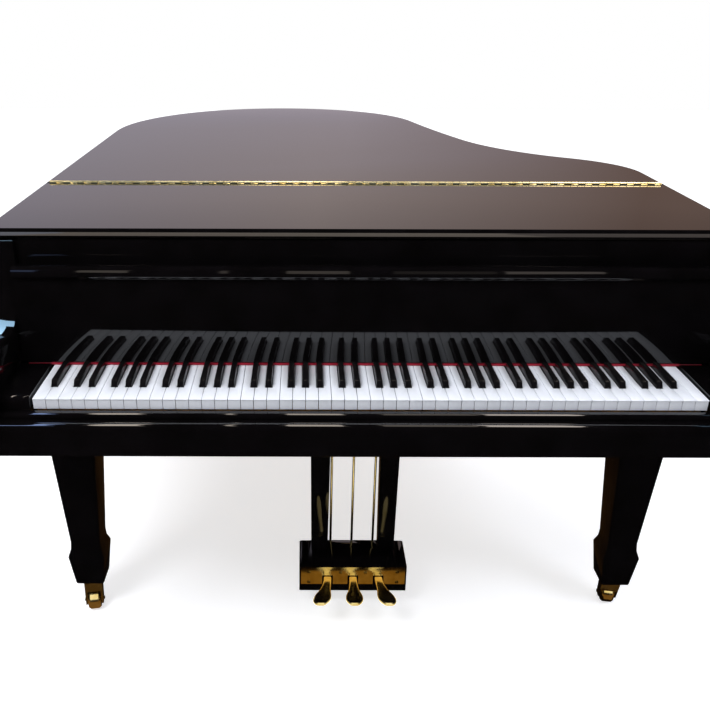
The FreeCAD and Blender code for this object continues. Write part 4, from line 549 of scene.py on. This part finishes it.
def leaf(side):
    """Flat leaf of the hinge against one board's edge; side is 1 for the lid and -1 for the flap."""
    near, far = PIN_LINE + side * LEAF_GAP, PIN_LINE + side * (LEAF_GAP + LEAF_THICKNESS)
    outline = ((near, LEAF_LOW + LEAF_EASE), (near + side * LEAF_EASE, LEAF_LOW), (far, LEAF_LOW),
               (far, LEAF_HIGH), (near, LEAF_HIGH))
    return loft([[(x, y, z) for y, z in outline] for x in (-HINGE_HALF, 0, HINGE_HALF)])


SCREW_DOME = ((1.0, 0.0), (0.94, 0.45), (0.7, 0.8), (0.4, 1.0))  # shares of radius and height


def screw_head(radius, height, slot_width):
    """Domed slotted screw head, made as two halves, that looks along -Y from the origin."""
    halves = []
    for side in (-1, 1):
        rings = []
        for share, rise in SCREW_DOME:
            reach = math.acos(min(1.0, slot_width / 2 / (radius * share)))
            rings.append([(side * radius * share * math.cos(a), -height * rise, radius * share * math.sin(a))
                          for a in (reach * (k / 5 - 1) for k in range(11))])
        halves.append(loft(rings))
    return gather(halves)


LEAF_SCREWS, LEAF_SCREW_LEVEL = 22, 0.9885
leaf_head, head_faces = screw_head(0.0028, 0.0002, 0.0008)
for side, body, node, start, section in (
        (1, "lid", "flap_hinge_lid_leaf", PERIOD / 4, eye_section),
        (-1, "flap", "flap_hinge_flap_leaf", PERIOD * 3 / 4, lip_section)):
    eyes = repeated(f"{body}_hinge_eyes", knuckle(section), brass, body,
                    (start - HINGE_HALF, PIN_LINE, PIN_LEVEL), (PERIOD, 0, 0), HINGE_PERIODS)
    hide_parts(node)
    piece(f"{body}_hinge_leaf", leaf(side), brass, body)
    facing = [(x, y * side, z) for x, y, z in leaf_head]
    repeated(f"{body}_hinge_screws", (facing, head_faces), brass, body,
             (PERIOD - HINGE_HALF, PIN_LINE + side * LEAF_GAP, LEAF_SCREW_LEVEL), (2 * PERIOD, 0, 0),
             LEAF_SCREWS)

# Lid butt hinges: three pairs of brass leaves on the straight side, each with its steel pin.
# The case leaf is let into the rim and held by four screws.
paint(brass, "lid_hinge_case_leaves", "lid_hinge_lid_leaves")
soften("lid_hinge_case_leaves", "lid_hinge_lid_leaves")
BUTT_FACE, BUTT_SPOTS = -0.7322, (-0.275, 0.073, 0.42)
BUTT_SPREAD, BUTT_LOW, BUTT_RISE = 0.048, 0.944, 0.016
butt_head, head_faces = screw_head(0.0038, 0.0009, 0.0011)
butt_head = [(y, -x, z) for x, y, z in butt_head]
for number, spot in enumerate(BUTT_SPOTS, 1):
    repeated(f"butt_hinge_screws_{number}", (butt_head, head_faces), brass, "case",
             (BUTT_FACE, spot - BUTT_SPREAD / 2, BUTT_LOW), (0, BUTT_SPREAD, 0), 2, (0, 0, BUTT_RISE), 2)

# Prop stick, music tray and desk: lacquered boards inside the case, under the lid.
# The stick turns in a brass bracket at the rim, held down by four screws, and the desk folds down on
# the tray.
paint(ebony, "lid_prop", "music_tray", "music_desk")
paint(brass, "prop_bracket")
soften("lid_prop", "music_tray", "music_desk", "prop_bracket", ease_mm=0.8)
BRACKET_CORNER, BRACKET_SPREAD = (0.2925, 0.1445, 0.892), 0.031
bracket_head, head_faces = screw_head(0.0036, 0.0012, 0.001)
bracket_head = [(x, z, -y) for x, y, z in bracket_head]
repeated("bracket_screws", (bracket_head, head_faces), brass, "case",
         BRACKET_CORNER, (BRACKET_SPREAD, 0, 0), 2, (0, BRACKET_SPREAD, 0), 2)

# Legs: three square tapered posts with spade feet, sawn from laminated beech, planed and lacquered.
# Each is screwed to a plate under the case.
paint(ebony, "legs")
soften("legs", ease_mm=1.0)

# Casters: cast brass forks with a filled yoke, and crowned brass wheels on axles between their cheeks.
# Each fork swivels on a stem in its leg, and the wheel trails behind the stem.
LEG_SPOTS = {"left": (-0.644, -0.672, 10), "right": (0.644, -0.672, 170), "tail": (-0.197, 0.715, -40)}
TRAIL, WHEEL_RADIUS, YOKE_HALF, YOKE_TOP = 0.016, 0.025, 0.0163, 0.0745
YOKE_CLEAR, YOKE_REAR, YOKE_FORE = 0.0277, -0.022, 0.0175
ARCH_START, ARCH_END, ARCH_STEPS = 108, 40, 9  # the yoke's arch over the wheel, in degrees
casters = [f"{spot}_caster_{part}" for spot in LEG_SPOTS for part in ("fork", "wheel")]
paint(brass, *casters)
soften(*casters, ease_mm=0.5)
yoke = [(YOKE_REAR, YOKE_TOP)]
for k in range(ARCH_STEPS + 1):
    angle = math.radians(ARCH_START + (ARCH_END - ARCH_START) * k / ARCH_STEPS)
    yoke.append((YOKE_CLEAR * math.cos(angle) - TRAIL, YOKE_CLEAR * math.sin(angle) + WHEEL_RADIUS))
yoke.append((YOKE_FORE, YOKE_TOP))
for spot, (x, y, turn) in LEG_SPOTS.items():
    stand = Matrix.Translation((x, y, 0)) @ Matrix.Rotation(math.radians(turn), 4, "Z")
    yoke_rings = [[stand @ Vector((side * YOKE_HALF, deep, level)) for deep, level in yoke] for side in (-1, 1)]
    piece(f"{spot}_caster_yoke", loft(yoke_rings), brass, f"{spot}_caster")

# Lyre: two posts and a moulded box of lacquered maple that hang from the case and carry the pedals.
# Brass pull rods run up between the posts, two brass braces hold the box from behind, and a brass
# plate is screwed to its front.
paint(ebony, "lyre_posts", "pedal_box")
soften("lyre_posts", "pedal_box", ease_mm=0.8)
PEDALS = {"soft": -1, "sostenuto": 0, "sustain": 1}
brass_parts = ["pedal_plate", "lyre_braces"] + [f"{name}_rod" for name in PEDALS]
paint(brass, *brass_parts)
soften(*brass_parts, ease_mm=0.4)
PLATE_FACE = -0.702
END_SCREW_X, END_SCREW_LOW, END_SCREW_RISE = 0.1077, 0.0883, 0.0301
MIDDLE_SCREW_X, MIDDLE_SCREW_LEVEL = 0.0305, 0.117
plate_head = screw_head(0.0042, 0.0014, 0.0012)
repeated("plate_end_screws", plate_head, brass, "case", (-END_SCREW_X, PLATE_FACE, END_SCREW_LOW),
         (2 * END_SCREW_X, 0, 0), 2, (0, 0, END_SCREW_RISE), 2)
repeated("plate_middle_screws", plate_head, brass, "case",
         (-MIDDLE_SCREW_X, PLATE_FACE, MIDDLE_SCREW_LEVEL), (2 * MIDDLE_SCREW_X, 0, 0), 2)

# Pedals: three brass castings on one pin in the box, ground flat with half-round edges and polished.
# The toes spread outwards from the slots in the front plate.
HALF_WIDTHS_MM = ((0.0, 13.0), (0.04, 18.5), (0.09, 20.8), (0.16, 19.0), (0.225, 14.8), (0.29, 12.0),
                  (0.38, 10.2), (0.48, 9.8), (0.6, 10.0), (0.8, 10.5), (1.0, 11.0))  # by share of the length
PEDAL_SPACING, TOE_SWEEP, SWEEP_START = 0.062, 0.019, -0.704
TOE, HEEL, TOE_ROUND = -0.798, -0.602, 0.0035
# Rings of the rounded toe: share of its reach, half width, share of the full height
TOE_TIPS = ((1.0, 0.0025, 0.3), (0.86, 0.0062, 0.62), (0.5, 0.0098, 0.86))
PEDAL_MIDDLE, PEDAL_HALF_HEIGHT = 0.101, 0.005


def half_width(share):
    """Half a pedal's width in metres at a share of its length, smooth through the table."""
    k = max(i for i in range(len(HALF_WIDTHS_MM) - 1) if HALF_WIDTHS_MM[i][0] <= share)
    (s, low), (e, high) = HALF_WIDTHS_MM[k:k + 2]
    slopes = []
    for i in (k, k + 1):
        before, after = HALF_WIDTHS_MM[max(i - 1, 0)], HALF_WIDTHS_MM[min(i + 1, len(HALF_WIDTHS_MM) - 1)]
        slopes.append((after[1] - before[1]) / (after[0] - before[0]) * (e - s))
    t = (share - s) / (e - s)
    return (low * (1 + 2 * t) * (1 - t) ** 2 + slopes[0] * t * (1 - t) ** 2
            + high * t * t * (3 - 2 * t) + slopes[1] * t * t * (t - 1)) / 1000


def bar(half, radius, count):
    """Outline of a flat bar with half-round edges, about the origin."""
    flat, edge = max(half - radius, 0), min(half, radius)
    angles = [math.tau * (k + 0.5) / count for k in range(count)]
    return [(math.copysign(flat, math.cos(a)) + edge * math.cos(a), radius * math.sin(a)) for a in angles]


def pedal(side):
    """Lever with half-round edges from the rounded toe to the heel."""
    stations = [(TOE - TOE_ROUND * reach, half, height) for reach, half, height in TOE_TIPS]
    # Close steps over the wide toe, then longer ones along the neck to the heel
    shares = [0.012 * k for k in range(26)] + [0.33 + 0.067 * k for k in range(11)]
    for share in shares:
        stations.append((TOE + share * (HEEL - TOE), half_width(share), min(1.0, 0.94 + 2 * share)))
    rings = []
    for y, half, height in stations:
        bend = max(0.0, min(1.0, (SWEEP_START - y) / (SWEEP_START - TOE)))
        middle = side * (PEDAL_SPACING + TOE_SWEEP * bend ** 2 * (2 - bend))
        rings.append([(middle + x, y, PEDAL_MIDDLE + z * height) for x, z in bar(half, PEDAL_HALF_HEIGHT, 24)])
    return loft(rings)


for name, side in PEDALS.items():
    lever = piece(f"{name}_pedal_casting", pedal(side), brass, f"{name}_pedal")
    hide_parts(f"{name}_pedal")

# Stage: white paper on the floor and an even white room for the camera, with its soft light for the object.
# The paper shines more away from the piano, so that it keeps a faint shadow and ends in white.
world = bpy.data.worlds.new("white_room")
world.use_nodes = True
bpy.context.scene.world = world


def seen_directly(tree):
    """Factor that is 1 for what the camera sees, also in a mirror or through glass."""
    rays = add(tree, "ShaderNodeLightPath").outputs
    mirrored = add(tree, "ShaderNodeMath", {
        0: rays["Is Glossy Ray"], 1: rays["Is Transmission Ray"]}, operation="MAXIMUM")
    return add(tree, "ShaderNodeMath", {0: rays["Is Camera Ray"], 1: mirrored.outputs[0]},
               operation="MAXIMUM").outputs[0]


tree = world.node_tree
tree.nodes.clear()
ROOM_LIGHT = 0.45
soft_light = add(tree, "ShaderNodeBackground", {"Color": linear("#f3f6ff"), "Strength": ROOM_LIGHT})
white = add(tree, "ShaderNodeBackground", {"Color": linear("#ffffff"), "Strength": 1.0})
mixed = add(tree, "ShaderNodeMixShader", {
    0: seen_directly(tree), 1: soft_light.outputs[0], 2: white.outputs[0]})
add(tree, "ShaderNodeOutputWorld", {"Surface": mixed.outputs[0]})


def sheet(name, corners, finish):
    """Flat stage piece from four corners."""
    mesh = bpy.data.meshes.new(name)
    mesh.from_pydata([Vector(corner) for corner in corners], [], [(0, 1, 2, 3)])
    made = bpy.data.objects.new(name, mesh)
    bpy.context.scene.collection.objects.link(made)
    mesh.materials.append(finish)
    return made


def level(name, left, right, front, back, height, finish):
    """Stage sheet that lies flat."""
    corners = ((left, front), (right, front), (right, back), (left, back))
    return sheet(name, [(x, y, height) for x, y in corners], finish)


def upright(name, first, last, top, finish, foot=0):
    """Stage sheet that stands between two spots on the floor."""
    (x, y), (end_x, end_y) = first, last
    return sheet(name, ((x, y, foot), (end_x, end_y, foot), (end_x, end_y, top), (x, y, top)), finish)


# Paper, rolled out: matt white
NEAR_FLOOR, FAR_FLOOR, NEAR_WHITE, FAR_WHITE = 1.4, 4.0, 0.6, 0.85
FLOOR_SIDE, FLOOR_FRONT, FLOOR_BACK = 9, -5, 9
paper, tree, shader, place = finish_of("white_floor_paper", 0.9)
shader.inputs["Base Color"].default_value = linear("#f4f3f1")
away = add(tree, "ShaderNodeVectorMath", {0: place}, operation="LENGTH")
lift = add(tree, "ShaderNodeMapRange", {
    "Value": away.outputs["Value"], "From Min": NEAR_FLOOR, "From Max": FAR_FLOOR,
    "To Min": NEAR_WHITE, "To Max": FAR_WHITE}, interpolation_type="SMOOTHSTEP")
lift = add(tree, "ShaderNodeMath", {0: lift.outputs["Result"], 1: seen_directly(tree)}, operation="MULTIPLY")
shader.inputs["Emission Color"].default_value = linear("#ffffff")
tree.links.new(lift.outputs[0], shader.inputs["Emission Strength"])
level("floor", -FLOOR_SIDE, FLOOR_SIDE, FLOOR_FRONT, FLOOR_BACK, 0, paper)

# Showroom: the room that only reflections see, with brown boards, a dim front, dim sides and ceiling.
# Its pale rear wall is tinted from left to right and from low to high. The wall fades out at its sides
# and foot, so that the tail of the case mirrors no hard edge.


def glow(name, colour, strength, clear=False):
    """Stage material that shines evenly; a clear one lets the view through as well."""
    made = bpy.data.materials.new(name)
    made.use_nodes = True
    tree = made.node_tree
    tree.nodes.clear()
    light = add(tree, "ShaderNodeEmission", {"Color": linear(colour), "Strength": strength})
    if clear:
        pane = add(tree, "ShaderNodeBsdfTransparent")
        light = add(tree, "ShaderNodeAddShader", {0: pane.outputs[0], 1: light.outputs[0]})
    add(tree, "ShaderNodeOutputMaterial", {"Surface": light.outputs[0]})
    return made


BOARD_PATCH_MM = 450


def floor_boards(name, dark, light):
    """Stage material that shines in soft patches of two colours."""
    made = glow(name, dark, 1.0)
    tree = made.node_tree
    place = add(tree, "ShaderNodeTexCoord").outputs["Object"]
    patch = add(tree, "ShaderNodeTexNoise", {
        "Vector": place, "Scale": grain_scale(BOARD_PATCH_MM), "Detail": 2.0})
    tree.links.new(colour_along(tree, patch.outputs["Fac"], ((0.35, dark), (0.65, light))),
                   tree.nodes["Emission"].inputs["Color"])
    return made


shaded_boards = floor_boards("shaded_floor_boards", "#2b1a0a", "#3d2812")
dark_boards = floor_boards("dark_floor_boards", "#0b0705", "#140d08")
dim = glow("dim_showroom", "#100c0b", 1.0)
ROOM_SIDE, ROOM_FRONT, ROOM_BACK, ROOM_TOP = 7.0, -5.0, 6.0, 3.6
SHADED_HALF, SHADED_FRONT, SHADED_BACK = 0.56, -0.6, 0.9
LAYER = 0.0002  # step in height between the sheets that lie over one another on the floor
TINT_SIDE, TINT_LOW, TINT_HIGH = 3.4, 1.5, 2.6
FADE_START, FADE_END, FOOT_FADE_END, FADED = 3.8, 6.8, 1.3, 0.02
wall = glow("pale_rear_wall", "#c6bcc6", 1.0)
tree = wall.node_tree
place = add(tree, "ShaderNodeTexCoord").outputs["Object"]
spot = add(tree, "ShaderNodeSeparateXYZ", {0: place}).outputs
side_share = add(tree, "ShaderNodeMapRange", {
    "Value": spot["X"], "From Min": -TINT_SIDE, "From Max": TINT_SIDE}).outputs["Result"]
height_share = add(tree, "ShaderNodeMapRange", {
    "Value": spot["Z"], "From Min": TINT_LOW, "From Max": TINT_HIGH}).outputs["Result"]
low_tint = colour_along(tree, side_share, ((0.0, "#b9b4c2"), (0.55, "#bfb4be"), (1.0, "#80685f")))
high_tint = colour_along(tree, side_share, ((0.0, "#cfc7d5"), (0.5, "#dccac7"), (1.0, "#9c8277")))
tint = add(tree, "ShaderNodeMix", {0: height_share, 6: low_tint, 7: high_tint}, data_type="RGBA")
tree.links.new(tint.outputs[2], tree.nodes["Emission"].inputs["Color"])
apart = add(tree, "ShaderNodeMath", {0: spot["X"]}, operation="ABSOLUTE")
side_fade = add(tree, "ShaderNodeMapRange", {
    "Value": apart.outputs[0], "From Min": FADE_START, "From Max": FADE_END, "To Min": 1.0, "To Max": FADED},
    interpolation_type="SMOOTHSTEP")
foot_fade = add(tree, "ShaderNodeMapRange", {
    "Value": spot["Z"], "From Min": 0.0, "From Max": FOOT_FADE_END, "To Min": FADED},
    interpolation_type="SMOOTHSTEP")
fade = add(tree, "ShaderNodeMath", {
    0: side_fade.outputs["Result"], 1: foot_fade.outputs["Result"]}, operation="MULTIPLY")
tree.links.new(fade.outputs[0], tree.nodes["Emission"].inputs["Strength"])
front_left, front_right = (-ROOM_SIDE, ROOM_FRONT), (ROOM_SIDE, ROOM_FRONT)
back_left, back_right = (-ROOM_SIDE, ROOM_BACK), (ROOM_SIDE, ROOM_BACK)
mirrored_only = [
    level("dark_boards", -ROOM_SIDE, ROOM_SIDE, ROOM_FRONT, ROOM_BACK, 2 * LAYER, dark_boards),
    level("shaded_boards", -SHADED_HALF, SHADED_HALF, SHADED_FRONT, SHADED_BACK, 4 * LAYER, shaded_boards),
    upright("dim_front", front_left, front_right, ROOM_TOP, dim),
    upright("dim_left", front_left, back_left, ROOM_TOP, dim),
    upright("dim_right", front_right, back_right, ROOM_TOP, dim),
    level("dim_ceiling", -ROOM_SIDE, ROOM_SIDE, ROOM_FRONT, ROOM_BACK, ROOM_TOP, dim),
    upright("rear_wall", back_left, back_right, ROOM_TOP, wall)]

# Cards for the lid, its hinge and the arm: clear sheets of light that only one group of parts mirrors.
# Pale ones in front give the lid's rounded edge its band, and an even light keeps the hinge's brass pale.
LID_CARDS = (("left", -4.5, -1.8, "#eef0ff", 2.3), ("middle", -1.8, 1.3, "#ffefe0", 1.8),
             ("right", 1.3, 4.5, "#ffefe6", 1.0))
LID_CARD_LINE, LID_CARD_BACK, LID_CARD_TOP = ROOM_FRONT + 0.05, -3.6, 0.9
HINGE_CARD_LINE, HINGE_CARD_BACK, HINGE_CARD_TOP = ROOM_FRONT + 0.2, 5.5, ROOM_TOP - 0.02
HINGE_CARD_HALF, HINGE_FRONT_HALF = 4, 5
ARM_LEFT, ARM_RIGHT, ARM_FRONT, ARM_BACK, ARM_HEIGHT = -2.4, -0.7, -0.8, 2.4, 3.5


def mirrored_in(card, *parts, hidden_from=()):
    """Let a card shine only on some parts, or on all apart from some."""
    group = bpy.data.collections.new(f"{card.name}_receivers")
    for part in parts or hidden_from:
        group.objects.link(part)
    for member in group.collection_objects:
        member.light_linking.link_state = "EXCLUDE" if hidden_from else "INCLUDE"
    card.light_linking.receiver_collection = group
    mirrored_only.append(card)


lid_boards = (nodes["main_lid"], nodes["front_flap"])
for side, left, right, colour, strength in LID_CARDS:
    pale = glow(f"{side}_pale_card", colour, strength, clear=True)
    floor_card = level(f"{side}_lid_floor_card", left, right, ROOM_FRONT, LID_CARD_BACK, 5 * LAYER, pale)
    mirrored_in(floor_card, *lid_boards)
    ends = (left, LID_CARD_LINE), (right, LID_CARD_LINE)
    mirrored_in(upright(f"{side}_lid_wall_card", *ends, LID_CARD_TOP, pale), *lid_boards)
hinge_eyes = [bpy.data.objects[f"{body}_hinge_eyes"] for body in ("lid", "flap")]
hinge_light = glow("hinge_light", "#dfecff", 0.45, clear=True)
mirrored_in(level("hinge_card", -HINGE_CARD_HALF, HINGE_CARD_HALF, HINGE_CARD_LINE, HINGE_CARD_BACK,
                  HINGE_CARD_TOP, hinge_light), *hinge_eyes)
ends = (-HINGE_FRONT_HALF, HINGE_CARD_LINE), (HINGE_FRONT_HALF, HINGE_CARD_LINE)
mirrored_in(upright("hinge_front_card", *ends, HINGE_CARD_TOP, hinge_light), *hinge_eyes)
arm_light = glow("arm_light", "#a8d4f5", 14.0, clear=True)
mirrored_in(level("arm_card", ARM_LEFT, ARM_RIGHT, ARM_FRONT, ARM_BACK, ARM_HEIGHT, arm_light), nodes["rim"])

# Cards for the casters: brown sheets in front of them, painted reflections of boards, lighter for the wheels
# and darker, as painted shade, for the forks and yokes.
# Warm sheets give the wheels their bright band. They stand before the two front legs only.
CARD_LINE, CARD_HALF, CARD_MIDDLE, CARD_HIGH = -1.32, 0.34, 0.28, 0.6
CASTER_CARD_BACK, SKYLIGHT_BACK = -0.69, -0.8
warm = glow("warm_card", "#fff6de", 1.3, clear=True)
# Painted reflections of boards: a lit copy that only the wheels mirror, and a darker copy of painted shade for
# the forks and yokes
wheel_board_reflection = glow("painted_board_reflection", "#7d5c34", 1.0, clear=True)
shade = glow("shade_card", "#4a3820", 1.0, clear=True)
for spot in ("left", "right"):
    left, right = LEG_SPOTS[spot][0] - CARD_HALF, LEG_SPOTS[spot][0] + CARD_HALF
    wheel, fork = nodes[f"{spot}_caster_wheel"], nodes[f"{spot}_caster_fork"]
    mirrored_in(level(f"{spot}_wheel_card", left, right, CARD_LINE, CASTER_CARD_BACK, 6 * LAYER, wheel_board_reflection), wheel)
    mirrored_in(level(f"{spot}_fork_card", left, right, CARD_LINE, CASTER_CARD_BACK, 7 * LAYER, shade),
                fork, bpy.data.objects[f"{spot}_caster_yoke"])
    ends = (left, CARD_LINE), (right, CARD_LINE)
    mirrored_in(upright(f"{spot}_caster_window", *ends, CARD_HIGH, warm, CARD_MIDDLE), wheel)
    mirrored_in(level(f"{spot}_caster_skylight", left, right, CARD_LINE, SKYLIGHT_BACK, CARD_HIGH, warm), wheel)

# Cards for the pedals, their rods and their plate: warm sheets of light in front, above, below and behind, and
# a brown sheet, a painted reflection of floor boards, that only the plate mirrors.
# A black sheet under the case, which only reflections see, is painted shade there, and a gold strip lights the
# pedals' necks at the plate.
castings = [bpy.data.objects[f"{name}_pedal_casting"] for name in PEDALS]
fittings = castings + [nodes[f"{name}_rod"] for name in PEDALS]
# Brown sheet that only the plate mirrors: a painted reflection of floor boards
plate_floor_reflection = glow("painted_floor_reflection", "#845f26", 1.0, clear=True)
neck_light = glow("neck_light", "#ffcf70", 0.9, clear=True)
under_case_shade = glow("painted_shade_flag", "#050303", 1.0)
# Name, half width, front, back, height, light and the parts that mirror it
PEDAL_SHEETS = (("pedal_card", CARD_HALF, CARD_LINE, -0.91, 6 * LAYER, warm, fittings),
                ("pedal_floor_card", 0.5, -0.9, -0.1, 6 * LAYER, warm, castings),
                ("pedal_skylight", CARD_HALF, CARD_LINE, -0.9, CARD_HIGH, warm, castings),
                ("plate_floor_card", 0.3, -0.9, -0.62, 4 * LAYER, plate_floor_reflection, [nodes["pedal_plate"]]))
for name, half, front, back, height, light, parts in PEDAL_SHEETS:
    mirrored_in(level(name, -half, half, front, back, height, light), *parts)
# Name, half width, line, foot, top, light and the parts that mirror it
PEDAL_WINDOWS = (("pedal_window", CARD_HALF, CARD_LINE, 0, CARD_HIGH, warm, fittings),
                 ("pedal_back_window", 3, 1.9, 0, 0.9, warm, fittings),
                 ("neck_card", 0.13, -0.7045, 0.104, 0.12, neck_light, castings))
for name, half, line, foot, top, light, parts in PEDAL_WINDOWS:
    mirrored_in(upright(name, (-half, line), (half, line), top, light, foot), *parts)
# Black flag under the case: painted shade that the pedals, rods and box mirror instead of the case's lit
# underside
FLAG_HALF, FLAG_FRONT, FLAG_BACK, FLAG_HEIGHT = 0.55, -0.78, 0.6, 0.6
mirrored_only.append(level("case_shade_flag", -FLAG_HALF, FLAG_HALF, FLAG_FRONT, FLAG_BACK, FLAG_HEIGHT, under_case_shade))

# Ceiling lights: panes that show as spots along the key slip's rounded edge and in the brass.
# The fallboard's lip mirrors windows in front instead, in the same order and colours but dimmer.
PANE_FRONT, PANE_BACK, PANE_HEIGHT = -1.5, 1.5, 3.55
WINDOW_LINE, WINDOW_LOW, WINDOW_HIGH = ROOM_FRONT + 0.1, 0.5, 1.9
WINDOW_SHARE, WINDOW_SHIFT, WINDOW_DIMMING = 1.603, 0.075, 8
PANES = (("blue", -3.6, -2.45, "#a9c4ff", 7.0), ("left", -2.05, -1.61, "#fff1e2", 7.0),
         ("small", -0.9, -0.84, "#fff1e2", 5.0), ("middle", -0.42, 0.02, "#fff1e2", 6.0),
         ("faint", 0.33, 1.08, "#fff1e2", 1.4), ("right", 1.15, 1.98, "#fff1e6", 7.0))
no_panes = [nodes[part] for part in ("fallboard", "music_tray", "rim", "main_lid", "front_flap")]
for name, left, right, colour, strength in PANES:
    pane_light = glow(f"{name}_pane_light", colour, strength, clear=True)
    pane = level(f"{name}_pane", left, right, PANE_FRONT, PANE_BACK, PANE_HEIGHT, pane_light)
    mirrored_in(pane, hidden_from=no_panes)
    ends = [(x * WINDOW_SHARE + WINDOW_SHIFT, WINDOW_LINE) for x in (left, right)]
    window_light = glow(f"{name}_window_light", colour, strength / WINDOW_DIMMING, clear=True)
    mirrored_in(upright(f"{name}_window", *ends, WINDOW_HIGH, window_light, WINDOW_LOW), nodes["fallboard"])
for plane in mirrored_only:
    plane.visible_camera = plane.visible_diffuse = plane.visible_shadow = False

# Lamps: three round soft lamps, two in front over the keys and one over the lid.
# They light the object and aren't mirrored in it.


def area_lamp(name, spot, aim, size, power, colour):
    """Round soft lamp at a spot that looks at its aim."""
    lamp = bpy.data.lights.new(name, "AREA")
    lamp.shape, lamp.size, lamp.energy, lamp.color = "DISK", size, power, linear(colour)[:3]
    made = bpy.data.objects.new(name, lamp)
    made.location = spot
    made.rotation_euler = (Vector(aim) - Vector(spot)).to_track_quat("-Z", "Y").to_euler()
    made.visible_glossy = False
    bpy.context.scene.collection.objects.link(made)


KEYS_MIDDLE, LID_MIDDLE = (0, -0.92, 0.73), (0, 0.2, 0.9)
area_lamp("key_lamp", (-1.6, -2.6, 3.4), KEYS_MIDDLE, 1.6, 86, "#f4f7ff")
area_lamp("fill_lamp", (2.4, -2.2, 2.8), KEYS_MIDDLE, 1.6, 36, "#e6edff")
area_lamp("top_lamp", (0.0, 0.8, 4.0), LID_MIDDLE, 2.4, 45, "#f4f7ff")

# Camera: in front of the keyboard, a little left of its middle and above the lid.
# Its place, tilt, lens and shift come from the corners of the keys, the lid and the legs.
SENSOR_WIDTH, LENS, SHIFT = 36.0, 42.47, 0.0737
CAMERA_SPOT, CAMERA_TILT, CAMERA_ROLL = (-0.12435, -2.36755, 1.41447), 66.623, 0.165
camera = bpy.data.objects.new("camera", bpy.data.cameras.new("camera"))
camera.data.sensor_width, camera.data.lens, camera.data.shift_x = SENSOR_WIDTH, LENS, SHIFT
camera.matrix_world = (Matrix.Translation(CAMERA_SPOT) @ Matrix.Rotation(math.radians(CAMERA_TILT), 4, "X")
                       @ Matrix.Rotation(math.radians(CAMERA_ROLL), 4, "Z"))
bpy.context.scene.collection.objects.link(camera)
bpy.context.scene.camera = camera
bpy.context.scene.view_settings.view_transform = "Standard"
